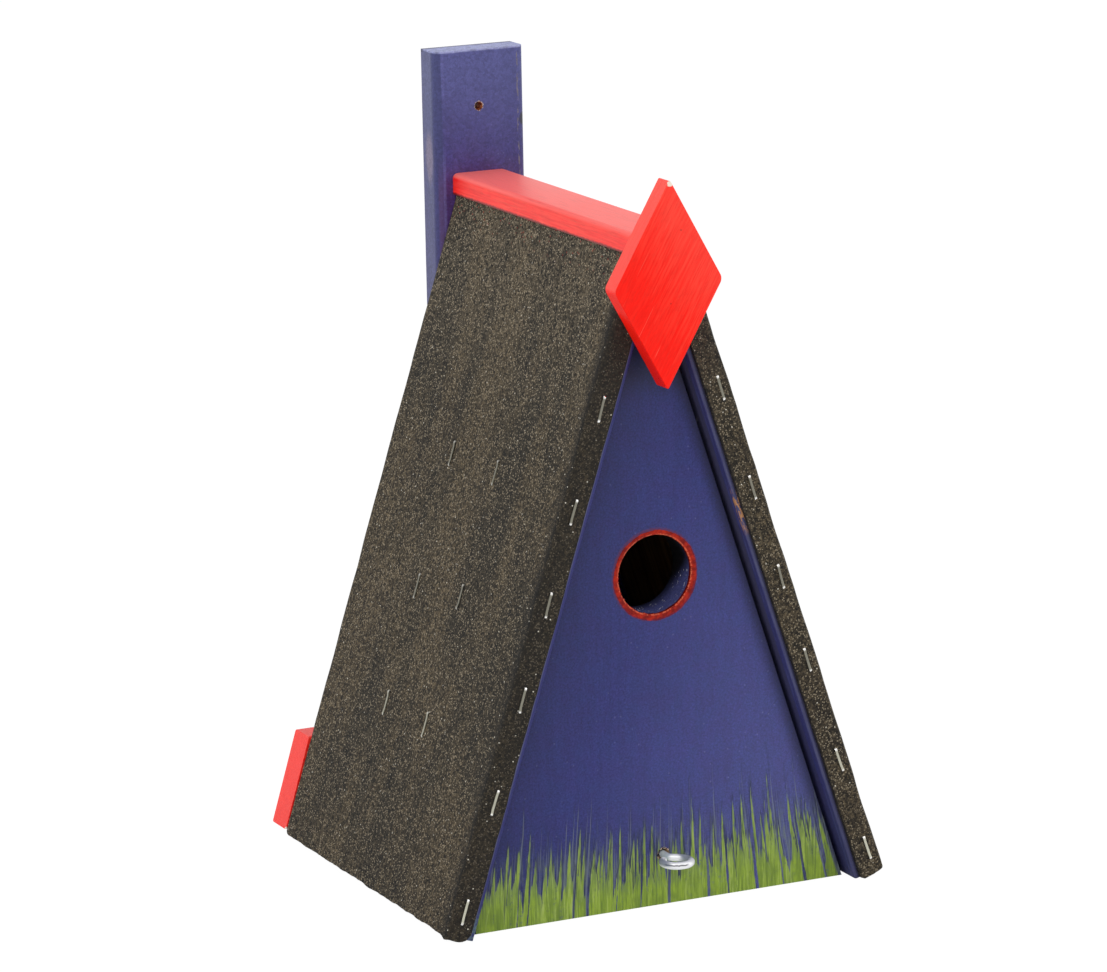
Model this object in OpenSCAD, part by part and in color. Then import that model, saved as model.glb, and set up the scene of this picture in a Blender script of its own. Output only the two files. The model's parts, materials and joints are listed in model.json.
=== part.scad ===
// A-frame nest box for hole-nesting birds. Two roof boards covered with roofing felt lean together
// over a triangular front and back. The front swings out at its foot on two nails, a screw eye holds
// it shut against the floor, and a batten behind the box hangs it on a wall or a trunk.
// Millimetres. +X is to the right, +Y runs from the front to the wall, +Z is up. The origin is on the
// ground under the middle of the whole box.

/* [Roof] */
// Angle between a roof board and the vertical
roof_angle = 18; // [15:0.5:21]
// Half of the clear width between the roof boards at their feet
foot_half_w = 84; // [78:1:92]
// Thickness of a roof board
board_t = 11; // [9:0.5:14]
// Width of a roof board, from its front edge to its back edge
board_w = 158.5; // [140:0.5:180]
// Radius of the planed inner arrises along a roof board's front and back edges
board_r = 1.2; // [0.6:0.2:3]
// Radius of the outer arrises, which the felt is folded round
fold_r = 0.8; // [0.4:0.1:3]
// Thickness of the roofing felt
felt_t = 1.6; // [0.8:0.1:2]
// Bare strip between a roof board's inner face and the edge of the folded felt
felt_margin = 1.8; // [1.4:0.1:4]

/* [Ridge] */
// Width of the ridge cap
cap_w = 24; // [22:1:34]
// Height of the ridge cap
cap_h = 8.6; // [6:0.2:12]
// Radius of the ridge cap's two upper arrises
cap_r = 2.2; // [1:0.2:4]
// Sideways offset of the ridge cap, as it is nailed on
cap_shift = -1; // [-2:0.5:2]
// Width of the gable diamond
diamond_w = 46.2; // [40:0.2:60]
// Height of the gable diamond
diamond_h = 81.4; // [70:0.2:90]
// Thickness of the gable diamond
diamond_t = 9.2; // [5:0.2:10]
// Height of the ridge over the middle of the gable diamond
diamond_drop = 11.3; // [8:0.1:16]
// Sideways offset of the gable diamond, as it is nailed on
diamond_shift = -1; // [-2:0.2:2]
// Sideways offset of the diamond's top corner, as it is sawn
diamond_lean = 1; // [-2:0.2:2]
// Rise of the diamond's right corner over its middle, as it is sawn
diamond_skew = 0.6; // [-2:0.2:2]
// Radius of the diamond's left and right corners
diamond_side_r = 3.5; // [1:0.5:5]
// Radius of the diamond's top and bottom corners
diamond_point_r = 0.6; // [0.4:0.2:2]

/* [Front] */
// Thickness of the front panel
front_t = 16; // [12:1:20]
// Depth of the front panel's face behind the front edge of the roof
front_recess = 8.9; // [6:0.1:14]
// Running gap between the front panel and each roof board
front_gap = 2.3; // [2:0.1:4]
// Height of the front, floor and back panels over the ground
lift = 0.2; // [0.2:0.1:2]
// Half of the width of the blunt tips of the front and back panels
tip_half_w = 4; // [3:0.5:6]
// Diameter of the entrance hole
hole_d = 32; // [26:1:34]
// Height of the entrance hole's centre over the ground
hole_z = 134; // [120:1:140]

/* [Pivot] */
// Height of the roof's inner apex over the pivot nails
pivot_drop = 68; // [60:1:80]
// Diameter of a pivot nail
nail_d = 2.5; // [2:0.1:3]
// Length of a pivot nail
nail_l = 30; // [26:1:32]
// Diameter of a pivot nail's head
nail_head_d = 5.5; // [4.5:0.5:6]
// Thickness of a pivot nail's head
nail_head_t = 1; // [0.8:0.1:1.5]

/* [Screw eye] */
// Diameter of the eye's wire
eye_wire_d = 3; // [2.5:0.1:3.5]
// Outer diameter of the eye's ring
eye_ring_d = 14.2; // [12:0.2:16]
// Distance from the front panel's face to the middle of the ring
eye_reach = 11.6; // [10:0.2:16]
// Depth of the eye's shank in the floor
eye_bite = 8; // [6:0.5:10]
// Sideways offset of the screw eye
eye_shift = 2; // [-3:0.5:3]
// Diameter of the splintered mouth of the eye's hole in the front panel
eye_mouth_d = 5.2; // [4.5:0.1:6]

/* [Floor and back] */
// Thickness of the floor
floor_t = 16; // [12:1:20]
// Height of the floor's underside over the ground
floor_z = 12.5; // [8:0.5:20]
// Diameter of a drain hole in the floor
drain_d = 6; // [4:0.5:8]
// Distance of a drain hole from the floor's edges
drain_inset = 22; // [18:1:30]
// Thickness of the back panel
back_t = 16; // [12:1:20]

/* [Hanging batten and crosspiece] */
// Width of the hanging batten
batten_w = 40; // [30:1:50]
// Thickness of the hanging batten and the crosspiece
batten_t = 14; // [12:0.5:20]
// Radius of the batten's two front arrises
batten_r = 4; // [2:0.5:5]
// Sideways offset of the hanging batten, as it is screwed on
batten_shift = 0.5; // [-2:0.5:2]
// Height of the hanging batten over the ridge
batten_rise = 58.5; // [45:0.5:80]
// Diameter of the hanging hole
hang_d = 3.5; // [3:0.5:6]
// Distance from the batten's top to the hanging hole
hang_drop = 23.2; // [18:0.1:30]
// Sideways offset of the hanging hole, as it is drilled
hang_shift = -0.6; // [-2:0.2:2]
// Height of the crosspiece
cross_h = 38; // [30:1:50]
// Height of the crosspiece's lower edge over the ground
cross_z = 5; // [4.5:0.5:10]
// Radius of the arrises along the crosspiece
cross_r = 1; // [0.5:0.5:4]
// Angle between the crosspiece's ends and the vertical
cross_angle = 17; // [14:0.5:20]

/* [Screws and staples] */
// Diameter of a screw's shank
screw_d = 3.5; // [3:0.5:4]
// Diameter of a screw's countersunk head
screw_head_d = 7; // [6:0.5:8]
// Length of a screw
screw_l = 26; // [22:1:28]
// Distance of the crosspiece's screws from the middle
cross_screw_x = 48; // [30:1:60]
// Length of a staple's crown
staple_l = 10.6; // [9:0.2:12]
// Width of the staple wire
staple_w = 0.9; // [0.8:0.1:1.4]
// Thickness of the staple wire
staple_wire_t = 0.5; // [0.4:0.1:0.8]
// Length of a staple's legs
staple_leg = 6; // [5:1:8]
// Distance of the edge staples from the roof board's inner face
staple_inset = 8; // [6:0.5:8.5]

/* [Hidden] */
$fn = 64;

BLUE = [0.24, 0.25, 0.47];
RED = [0.93, 0.11, 0.10];
FELT = [0.23, 0.21, 0.18];
ZINC = [0.78, 0.79, 0.80];
PINE = [0.78, 0.62, 0.42];

LEFT = -1;
RIGHT = 1;

// Small clearances
run_fit = 0.05;  // radial, a nail or shank that turns or slides in its hole
fixed_fit = 0.02;  // radial, a nail or screw that is driven in
stop_gap = 0.4;  // between the closed front panel and the floor
eye_play = 1.1;  // radial, round the eye's shank where it enters the floor
past = 1;  // a cut runs this far past the face it leaves
hair = 0.001;  // between the diamond's sides and the tangents of its round corners

// Middles of the staples' crowns: distances up the slope from a roof board's foot, and on the faces
// also from the roof's front
edge_staples_left = [11, 55, 96, 134, 171, 212];
edge_staples_right = [11, 51, 96, 133, 172, 215];
side_staples = [[70, 64], [70, 102], [122.5, 63.5], [118.5, 102.5], [173.5, 62], [173.5, 103]];
batten_screws_z = [62, 130, 198];

// Roof
board_len = foot_half_w / sin(roof_angle);
apex_z = foot_half_w / tan(roof_angle);
skin_t = board_t + felt_t;
ridge_z = apex_z + skin_t * sin(roof_angle);
roof_depth = board_w + 2 * felt_t;

// Places along Y, from the front face of the folded felt at y = 0 of the roof
front_y = front_recess;
front_back_y = front_y + front_t;
floor_y = front_back_y + stop_gap;
back_y = roof_depth - back_t;
pivot_y = front_y + front_t / 2;
ring_y = front_y - eye_reach;
foremost_y = min(-diamond_t, ring_y - eye_ring_d / 2);
middle_y = (foremost_y + roof_depth + batten_t) / 2;

// Heights
pivot_z = apex_z - pivot_drop;
eye_z = floor_z + floor_t / 2;
batten_z = cross_z + cross_h;
batten_top = ridge_z + batten_rise;

// Half of the clear width between the roof boards at a height, and the same out to the felt's face
function inner_half(z) = foot_half_w - z * tan(roof_angle);
function outer_half(z) = inner_half(z) + skin_t / cos(roof_angle);

// Moves a piece given in the roof's own places along Y into the frame of the whole box
module in_frame() {
    translate([0, -middle_y, 0]) children();
}

module on_side(side) {
    if (side == LEFT)
        mirror([1, 0, 0]) children();
    else
        children();
}

// A roof board's own axes: x out through its thickness, y back, z up the slope from its foot
module on_board(side) {
    on_side(side) translate([foot_half_w, 0, 0]) rotate([0, -roof_angle, 0]) children();
}

// Turns a drawing of X and height into a board that runs back from y
module board_of_outline(y, t) {
    translate([0, y + t, 0]) rotate([90, 0, 0]) linear_extrude(t) children();
}

// A rectangle from the origin with round corners
module rounded_rect(w, h, r) {
    translate([r, 0]) square([w - 2 * r, h]);
    translate([0, r]) square([w, h - 2 * r]);
    for (x = [r, w - r], y = [r, h - r]) translate([x, y]) circle(r);
}

// A rectangle from the origin whose two far corners are round
module round_far_rect(w, h, r) {
    square([w, h - r]);
    translate([r, 0]) square([w - 2 * r, h]);
    for (x = [r, w - r]) translate([x, h - r]) circle(r);
}

// Direction out of the edge from a to b of an outline that runs counter-clockwise
function outward(a, b) = [b.y - a.y, a.x - b.x] / norm(b - a);

// A convex outline with a radius of its own at each corner. Slanted sides lie a hair inside, where they
// cross the round corners cleanly.
module rounded_outline(corners, radii, inside = 0) {
    last = len(corners) - 1;
    before = [for (i = [0:last]) outward(corners[i == 0 ? last : i - 1], corners[i])];
    after = [for (i = [0:last]) outward(corners[i], corners[i == last ? 0 : i + 1])];
    centres = [
        for (i = [0:last]) corners[i] - radii[i] * (before[i] + after[i]) / (1 + before[i] * after[i])
    ];
    polygon([for (i = [0:last], side = [before[i], after[i]]) centres[i] + (radii[i] - inside) * side]);
    for (i = [0:last]) translate(centres[i]) circle(radii[i]);
}

// A roof board's section, or the outline of a sheet of thickness t folded all round it
module board_section(t = 0) {
    low = felt_t - t;
    high = felt_t + board_w + t;
    rounded_outline(
        [[-t, low], [board_t + t, low], [board_t + t, high], [-t, high]],
        [board_r + t, fold_r + t, fold_r + t, board_r + t]
    );
}

module roof_board(side) {
    color(BLUE) in_frame() difference() {
        on_board(side) linear_extrude(board_len) board_section();
        on_side(side) pivot_nail_hole(fixed_fit);
    }
}

// One sheet, folded round the board's front and back edges
module felt(side) {
    color(FELT) in_frame() on_board(side) linear_extrude(board_len) difference() {
        board_section(felt_t);
        board_section();
        translate([-felt_t - past, -past]) square([felt_margin + felt_t + past, roof_depth + 2 * past]);
    }
}

module ridge_cap() {
    color(RED) in_frame() translate([cap_shift - cap_w / 2, 0, ridge_z])
        board_of_outline(0, roof_depth) round_far_rect(cap_w, cap_h, cap_r);
}

module gable_diamond() {
    top = [diamond_lean, diamond_h / 2];
    right = [diamond_w / 2, diamond_skew];
    color(RED) in_frame() translate([diamond_shift, 0, ridge_z - diamond_drop])
        board_of_outline(-diamond_t, diamond_t)
        rounded_outline(
            [top, -right, -top, right],
            [diamond_point_r, diamond_side_r, diamond_point_r, diamond_side_r],
            hair
        );
}

// A panel between the roof boards, with a gap to each of them
module gable_outline(gap) {
    low = inner_half(lift) - gap / cos(roof_angle);
    tip_z = lift + (low - tip_half_w) / tan(roof_angle);
    polygon([[-low, lift], [low, lift], [tip_half_w, tip_z], [-tip_half_w, tip_z]]);
}

module front_panel() {
    color(BLUE) in_frame() difference() {
        board_of_outline(front_y, front_t) gable_outline(front_gap);
        translate([0, front_y - past, hole_z]) rotate([-90, 0, 0])
            cylinder(d = hole_d, h = front_t + 2 * past);
        for (side = [LEFT, RIGHT]) on_side(side) pivot_nail_hole(run_fit);
        translate([eye_shift, front_y - past, eye_z]) rotate([-90, 0, 0])
            cylinder(d = eye_wire_d + 2 * run_fit, h = front_t + 2 * past);
        translate([eye_shift, front_y, eye_z]) rotate([-90, 0, 0])
            cylinder(d1 = eye_mouth_d, d2 = eye_wire_d, h = (eye_mouth_d - eye_wire_d) / 2);
    }
}

// The nail's head is punched below the slanted face of the board, so that the felt lies flat on it
module pivot_nail(side) {
    color(ZINC) in_frame() on_side(side) translate([nail_head_x() - nail_l, pivot_y, pivot_z])
        rotate([0, 90, 0]) {
            cylinder(d = nail_d, h = nail_l);
            translate([0, 0, nail_l - nail_head_t]) cylinder(d = nail_head_d, h = nail_head_t);
        }
}

function nail_head_x() =
    inner_half(pivot_z) + board_t / cos(roof_angle) - nail_head_d / 2 * tan(roof_angle) - run_fit;

module pivot_nail_hole(fit) {
    translate([nail_head_x() - nail_l - past, pivot_y, pivot_z]) rotate([0, 90, 0]) {
        cylinder(d = nail_d + 2 * fit, h = nail_l + past);
        translate([0, 0, nail_l + past - nail_head_t])
            cylinder(d = nail_head_d + 2 * fit, h = nail_head_d + nail_head_t);
    }
}

// A ring of wire whose end stops short of the shank, on the left
module screw_eye() {
    ring_r = (eye_ring_d - eye_wire_d) / 2;
    shank_end = floor_y + eye_bite;
    color(ZINC) in_frame() translate([eye_shift, ring_y, eye_z]) {
        rotate([0, 0, 90]) rotate_extrude(angle = -325) translate([ring_r, 0]) circle(d = eye_wire_d);
        translate([0, ring_r, 0]) rotate([-90, 0, 0]) {
            cylinder(d = eye_wire_d, h = shank_end - ring_y - ring_r - eye_wire_d);
            translate([0, 0, shank_end - ring_y - ring_r - eye_wire_d])
                cylinder(d1 = eye_wire_d, d2 = eye_wire_d / 4, h = eye_wire_d);
        }
    }
}

module floor_panel() {
    top = floor_z + floor_t;
    drain_x = inner_half(top) - drain_inset;
    color(PINE) in_frame() difference() {
        board_of_outline(floor_y, back_y - floor_y)
            polygon([
                [-inner_half(floor_z), floor_z], [inner_half(floor_z), floor_z],
                [inner_half(top), top], [-inner_half(top), top]
            ]);
        for (x = [-drain_x, drain_x], y = [floor_y + drain_inset, back_y - drain_inset])
            translate([x, y, floor_z - past]) cylinder(d = drain_d, h = floor_t + 2 * past);
        translate([eye_shift, floor_y - past, eye_z]) rotate([-90, 0, 0])
            cylinder(d = eye_wire_d + 2 * eye_play, h = eye_bite + eye_play + past);
    }
}

module back_panel() {
    color(BLUE) in_frame() difference() {
        board_of_outline(back_y, back_t) gable_outline(0);
        batten_screw_places() screw(fixed_fit);
        cross_screw_places() screw(fixed_fit);
    }
}

module hanging_batten() {
    color(BLUE) in_frame() difference() {
        translate([batten_shift - batten_w / 2, roof_depth + batten_t, batten_z]) mirror([0, 1, 0])
            linear_extrude(batten_top - batten_z) round_far_rect(batten_w, batten_t, batten_r);
        translate([hang_shift, roof_depth - past, batten_top - hang_drop]) rotate([-90, 0, 0])
            cylinder(d = hang_d, h = batten_t + 2 * past);
        batten_screw_places() screw(fixed_fit);
    }
}

// The sawn ends meet the felted roof's faces at half of the crosspiece's height
module back_crosspiece() {
    middle = cross_z + cross_h / 2;
    slant = cross_h / 2 * tan(cross_angle);
    low = outer_half(middle) + slant;
    high = outer_half(middle) - slant;
    color(RED) in_frame() difference() {
        intersection() {
            board_of_outline(roof_depth, batten_t)
                polygon([[-low, cross_z], [low, cross_z], [high, batten_z], [-high, batten_z]]);
            translate([-low, roof_depth, cross_z]) rotate([90, 0, 90])
                linear_extrude(2 * low) rounded_rect(batten_t, cross_h, cross_r);
        }
        cross_screw_places() screw(fixed_fit);
    }
}

// A countersunk screw whose head is flush with the origin and whose tip points to the front
module screw(fit) {
    cone_h = (screw_head_d - screw_d) / 2;
    rotate([90, 0, 0]) {
        translate([0, 0, -fit]) cylinder(d1 = screw_head_d + 2 * fit, d2 = screw_d + 2 * fit, h = cone_h);
        cylinder(d = screw_d + 2 * fit, h = screw_l + fit);
    }
}

module batten_screw_places() {
    for (z = batten_screws_z) translate([0, roof_depth + batten_t, z]) children();
}

module cross_screw_places() {
    for (x = [-cross_screw_x, cross_screw_x])
        translate([x, roof_depth + batten_t, cross_z + cross_h / 2]) children();
}

// Crown along z on the plane y = 0, legs into +y
module staple() {
    translate([-staple_w / 2, -staple_wire_t, -staple_l / 2]) rotate([90, 0, 90])
        linear_extrude(staple_w) difference() {
            rounded_rect(staple_leg + staple_wire_t, staple_l, 2 * staple_wire_t);
            translate([staple_wire_t, staple_wire_t])
                square([staple_leg + past, staple_l - 2 * staple_wire_t]);
        }
}

module front_staples(side, places) {
    color(ZINC) in_frame() on_board(side)
        for (z = places) translate([staple_inset, 0, z]) staple();
}

module side_staples(side) {
    color(ZINC) in_frame() on_board(side)
        for (p = side_staples) translate([skin_t, p[1], p[0]]) rotate([0, 0, 90]) staple();
}

// The crosspiece covers the lowest place on the back edge
module back_staples(side, places) {
    color(ZINC) in_frame() on_board(side)
        for (z = places)
            if (z * cos(roof_angle) > batten_z + staple_l / 2)
                translate([staple_inset, roof_depth, z]) rotate([0, 0, 180]) staple();
}

roof_board(LEFT);  // left_roof_board
roof_board(RIGHT);  // right_roof_board
felt(LEFT);  // left_felt
felt(RIGHT);  // right_felt
ridge_cap();
gable_diamond();
front_panel();
screw_eye();
pivot_nail(LEFT);  // left_pivot_nail
pivot_nail(RIGHT);  // right_pivot_nail
floor_panel();
back_panel();
hanging_batten();
back_crosspiece();
color(ZINC) in_frame() batten_screw_places() screw(0);  // batten_screws
color(ZINC) in_frame() cross_screw_places() screw(0);  // crosspiece_screws
front_staples(LEFT, edge_staples_left);  // left_front_staples
front_staples(RIGHT, edge_staples_right);  // right_front_staples
side_staples(LEFT);  // left_side_staples
side_staples(RIGHT);  // right_side_staples
back_staples(LEFT, edge_staples_left);  // left_back_staples
back_staples(RIGHT, edge_staples_right);  // right_back_staples
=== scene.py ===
# %% [markdown]
# # A nest box for the garden wall
# The construction is done: boards, laths, felt, nails and the swinging front come in as fixed pieces at
# their real size. What this lesson adds is what a hand and the weather give them: brushed paint, the grain
# of the felt, bent wire and worn arrises. Everything is in metres, with the front towards -Y and up along
# +Z.

import json
import math

import bmesh
import bpy
import numpy as np
from mathutils import Matrix, Vector


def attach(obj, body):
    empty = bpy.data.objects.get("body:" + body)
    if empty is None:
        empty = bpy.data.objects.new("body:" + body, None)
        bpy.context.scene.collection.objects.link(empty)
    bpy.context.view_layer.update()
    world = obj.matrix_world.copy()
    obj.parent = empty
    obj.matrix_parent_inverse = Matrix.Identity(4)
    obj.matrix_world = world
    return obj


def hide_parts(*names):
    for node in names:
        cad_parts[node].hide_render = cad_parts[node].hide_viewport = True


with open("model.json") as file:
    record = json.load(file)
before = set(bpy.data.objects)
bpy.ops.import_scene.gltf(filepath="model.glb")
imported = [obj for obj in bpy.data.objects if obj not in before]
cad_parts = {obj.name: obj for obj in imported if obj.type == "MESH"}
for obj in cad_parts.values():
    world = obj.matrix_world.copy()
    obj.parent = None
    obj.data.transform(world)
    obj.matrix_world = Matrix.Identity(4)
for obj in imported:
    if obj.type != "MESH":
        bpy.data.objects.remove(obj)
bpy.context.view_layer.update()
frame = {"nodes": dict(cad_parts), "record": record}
record = frame["record"]
nodes = frame["nodes"]
mounts = {m["name"]: m for m in record["mounts"]}
body_of = {n: body for body, names in record["behaviour"]["bodies"].items() for n in names}

# %% [markdown]
# The view is a long lens from a little to the left and a little above, so that the left roof slope and the
# front both show. A long lens keeps the slopes nearly parallel, as a product picture has them. The camera
# is set by two angles and a slight roll, which is easier to read than a matrix.

# %% Camera
MM = 0.001
CAMERA_PLACE = Vector((-0.8909, -1.86395, 0.6263))
CAMERA_AZIMUTH = math.radians(-25.356)
CAMERA_ELEVATION = math.radians(12.858)
CAMERA_ROLL = math.radians(-1.121)
FOCAL_LENGTH = 172.46
SENSOR_WIDTH = 36

def camera_axes(azimuth, elevation, roll):
    """Columns: right, up and backwards. Azimuth 0 looks along +Y, and roll turns right towards up."""
    right = Vector((math.cos(azimuth), math.sin(azimuth), 0))
    back = Vector((
        math.sin(azimuth) * math.cos(elevation),
        -math.cos(azimuth) * math.cos(elevation),
        math.sin(elevation),
    ))
    up = back.cross(right)
    c, s = math.cos(roll), math.sin(roll)
    return Matrix((c * right + s * up, c * up - s * right, back)).transposed()

camera = bpy.data.objects.new("camera", bpy.data.cameras.new("camera"))
camera.data.sensor_width = SENSOR_WIDTH
camera.data.lens = FOCAL_LENGTH
camera.data.clip_start = 0.05
camera.matrix_world = Matrix.LocRotScale(
    CAMERA_PLACE, camera_axes(CAMERA_AZIMUTH, CAMERA_ELEVATION, CAMERA_ROLL).to_quaternion(), None
)
bpy.context.scene.collection.objects.link(camera)
bpy.context.scene.camera = camera
bpy.context.scene.view_settings.view_transform = "Standard"
print("camera at", [round(c, 3) for c in CAMERA_PLACE])

# %% [markdown]
# New pieces have to lie exactly on the boards. Their places could be typed in, but then they would be wrong
# as soon as a board changes, so they are measured on the frame. A roof board has a slope of its own, and it
# is easiest to work along it: out through the board, back along Y and up from its foot. Two of its corners
# give those directions.

# %% Measure the roof's slopes
ACROSS = np.array([1.0, 0.0, 0.0])
BACK = np.array([0.0, 1.0, 0.0])
UP = np.array([0.0, 0.0, 1.0])

def points_of(node):
    """A node's vertices as an array, one row a point."""
    mesh = nodes[node].data
    flat = np.empty(3 * len(mesh.vertices))
    mesh.vertices.foreach_get("co", flat)
    return flat.reshape(-1, 3)

class Slope:
    """A roof board's own axes, from its lowest corner, the inner foot, and the innermost, at the ridge."""

    def __init__(self, side):
        points = points_of(f"{side}_roof_board")
        foot = points[points[:, 2].argmin()]
        top = points[np.abs(points[:, 0]).argmin()]
        rise = (top - foot) * (1, 0, 1)
        self.foot = foot * (1, 0, 1)
        self.length = np.linalg.norm(rise)
        self.up = rise / self.length
        self.out = np.sign(foot[0]) * np.array([self.up[2], 0, -self.up[0]])

    def place(self, out, back, up):
        """World points for three arrays of distances: the foot plus each distance along its own axis."""
        out, back, up = np.broadcast_arrays(out, back, up)
        return self.foot + out[..., None] * self.out + back[..., None] * BACK + up[..., None] * self.up

    def measure(self, points):
        """The three distances of world points: out, back and up."""
        away = points - self.foot
        return away @ self.out, points[..., 1], away @ self.up

slopes = {side: Slope(side) for side in ("left", "right")}
for side, slope in slopes.items():
    print(side, "slope:", round(slope.length / MM, 1), "mm long, out towards", slope.out.round(3))

# %% [markdown]
# A node can hold several solids, such as the six staples of one edge. Each has to be found by itself:
# starting at any vertex, its edges lead to all the others of the same solid.

# %% Separate solids
def solids_of(node):
    """The vertices of each separate solid in a node, as a list of arrays."""
    merged = bmesh.new()
    merged.from_mesh(nodes[node].data)
    bmesh.ops.remove_doubles(merged, verts=merged.verts, dist=1e-6)
    left, solids = set(merged.verts), []
    while left:
        found, edge = set(), [left.pop()]
        while edge:
            vertex = edge.pop()
            found.add(vertex)
            near = {e.other_vert(vertex) for e in vertex.link_edges} & left
            left -= near
            edge.extend(near)
        solids.append(np.array([v.co for v in found]))
    merged.free()
    return sorted(solids, key=lambda solid: tuple(solid.mean(0).round(4)[::-1]))

print("staples on the left front edge:", len(solids_of("left_front_staples")))

# %% [markdown]
# Every new piece is a sheet of quads on a grid of points, so one helper makes the quads and another makes
# the object. The faces have to look outwards: each face and the origin span a small pyramid, and where the
# sum of their volumes is negative, the helper flips the faces.

# %% Grids and pieces
def quads(rows, columns, wrap_rows=False, wrap_columns=False):
    """Corners of the quads between neighbours on a grid; a wrapped direction closes on itself."""
    i, j = np.meshgrid(
        np.arange(rows - (not wrap_rows)), np.arange(columns - (not wrap_columns)), indexing="ij"
    )
    after_i, after_j = (i + 1) % rows, (j + 1) % columns
    corners = (i * columns + j, i * columns + after_j, after_i * columns + after_j, after_i * columns + j)
    return np.stack(corners, axis=-1).reshape(-1, 4)

def copies(faces, points_each, count):
    """The faces of count equal grids whose points follow each other."""
    return (faces[None] + points_each * np.arange(count)[:, None, None]).reshape(-1, 4)

def make_piece(name, points, faces, finish, body, instead_of=None, sharp=35, marks=None):
    """An object from arrays, with its faces turned outwards. Edges over sharp degrees stay crisp.
    marks are values at the points that its material can read, by name."""
    points = points.reshape(-1, 3)
    a, b, c, d = (points[faces[:, k]] for k in range(4))
    volume = np.einsum("ij,ij->", a, np.cross(b, c)) + np.einsum("ij,ij->", a, np.cross(c, d))
    if volume < 0:
        faces = faces[:, ::-1]
    mesh = bpy.data.meshes.new(name)
    mesh.from_pydata(points, [], faces.tolist())
    for mark, values in (marks or {}).items():
        mesh.attributes.new(mark, "FLOAT", "POINT").data.foreach_set("value", np.ravel(values))
    merged = bmesh.new()
    merged.from_mesh(mesh)
    bmesh.ops.remove_doubles(merged, verts=merged.verts, dist=1e-7)
    merged.to_mesh(mesh)
    merged.free()
    mesh.shade_smooth()
    mesh.set_sharp_from_angle(angle=math.radians(sharp))
    mesh.materials.append(finish)
    piece = bpy.data.objects.new(name, mesh)
    bpy.context.scene.collection.objects.link(piece)
    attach(piece, body)
    if instead_of:
        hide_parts(instead_of)
    print(name, "has", sum(len(p.vertices) - 2 for p in mesh.polygons), "triangles")
    return piece

# %% [markdown]
# Handwork is a little uneven everywhere. A Displace modifier could give that, but noise as an array can be
# added to any measure of a shape, in millimetres. It is a table of random values that is eased from one
# cell to the next. The tables have fixed seeds, so that each run makes the same piece.

# %% Smooth noise for shapes
TABLE = 256

def smooth(t):
    """The soft curve 3 t^2 - 2 t^3, from 0 to 1."""
    return t * t * (3 - 2 * t)

def ease(value, low, high):
    """0 up to low, 1 from high, and a soft rise between."""
    return smooth(np.clip((value - low) / (high - low), 0, 1))

def cloud(a, b, size, seed):
    """Noise from -1 to 1 over two coordinates: a table of random values, eased from cell to cell."""
    table = np.random.default_rng(seed).uniform(-1, 1, (TABLE, TABLE))
    a, b = np.broadcast_arrays(np.asarray(a) / size, np.asarray(b) / size)
    i, j = np.floor(a).astype(int), np.floor(b).astype(int)
    s, t = smooth(a - i), smooth(b - j)
    i, j, next_i, next_j = i % TABLE, j % TABLE, (i + 1) % TABLE, (j + 1) % TABLE
    low = table[i, j] * (1 - s) + table[next_i, j] * s
    high = table[i, next_j] * (1 - s) + table[next_i, next_j] * s
    return low * (1 - t) + high * t

def wrapped_noise(a, count, seed):
    """Noise from -1 to 1 round a circle with count cells, eased from cell to cell."""
    values = np.random.default_rng(seed).uniform(-1, 1, count)
    place = a / (2 * np.pi) * count
    i = np.floor(place).astype(int)
    t = smooth(place - i)
    return values[i % count] * (1 - t) + values[(i + 1) % count] * t

print("noise at three places:", cloud(np.arange(3), 0, 7, 1).round(2))

# %% [markdown]
# A material here is a small graph that starts from Object coordinates, so a pattern keeps its scale in
# millimetres on every board. A helper class keeps such graphs short to write: each method adds one node or
# two, and what it returns can be fed to the next. First come the sums and the masks.

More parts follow.
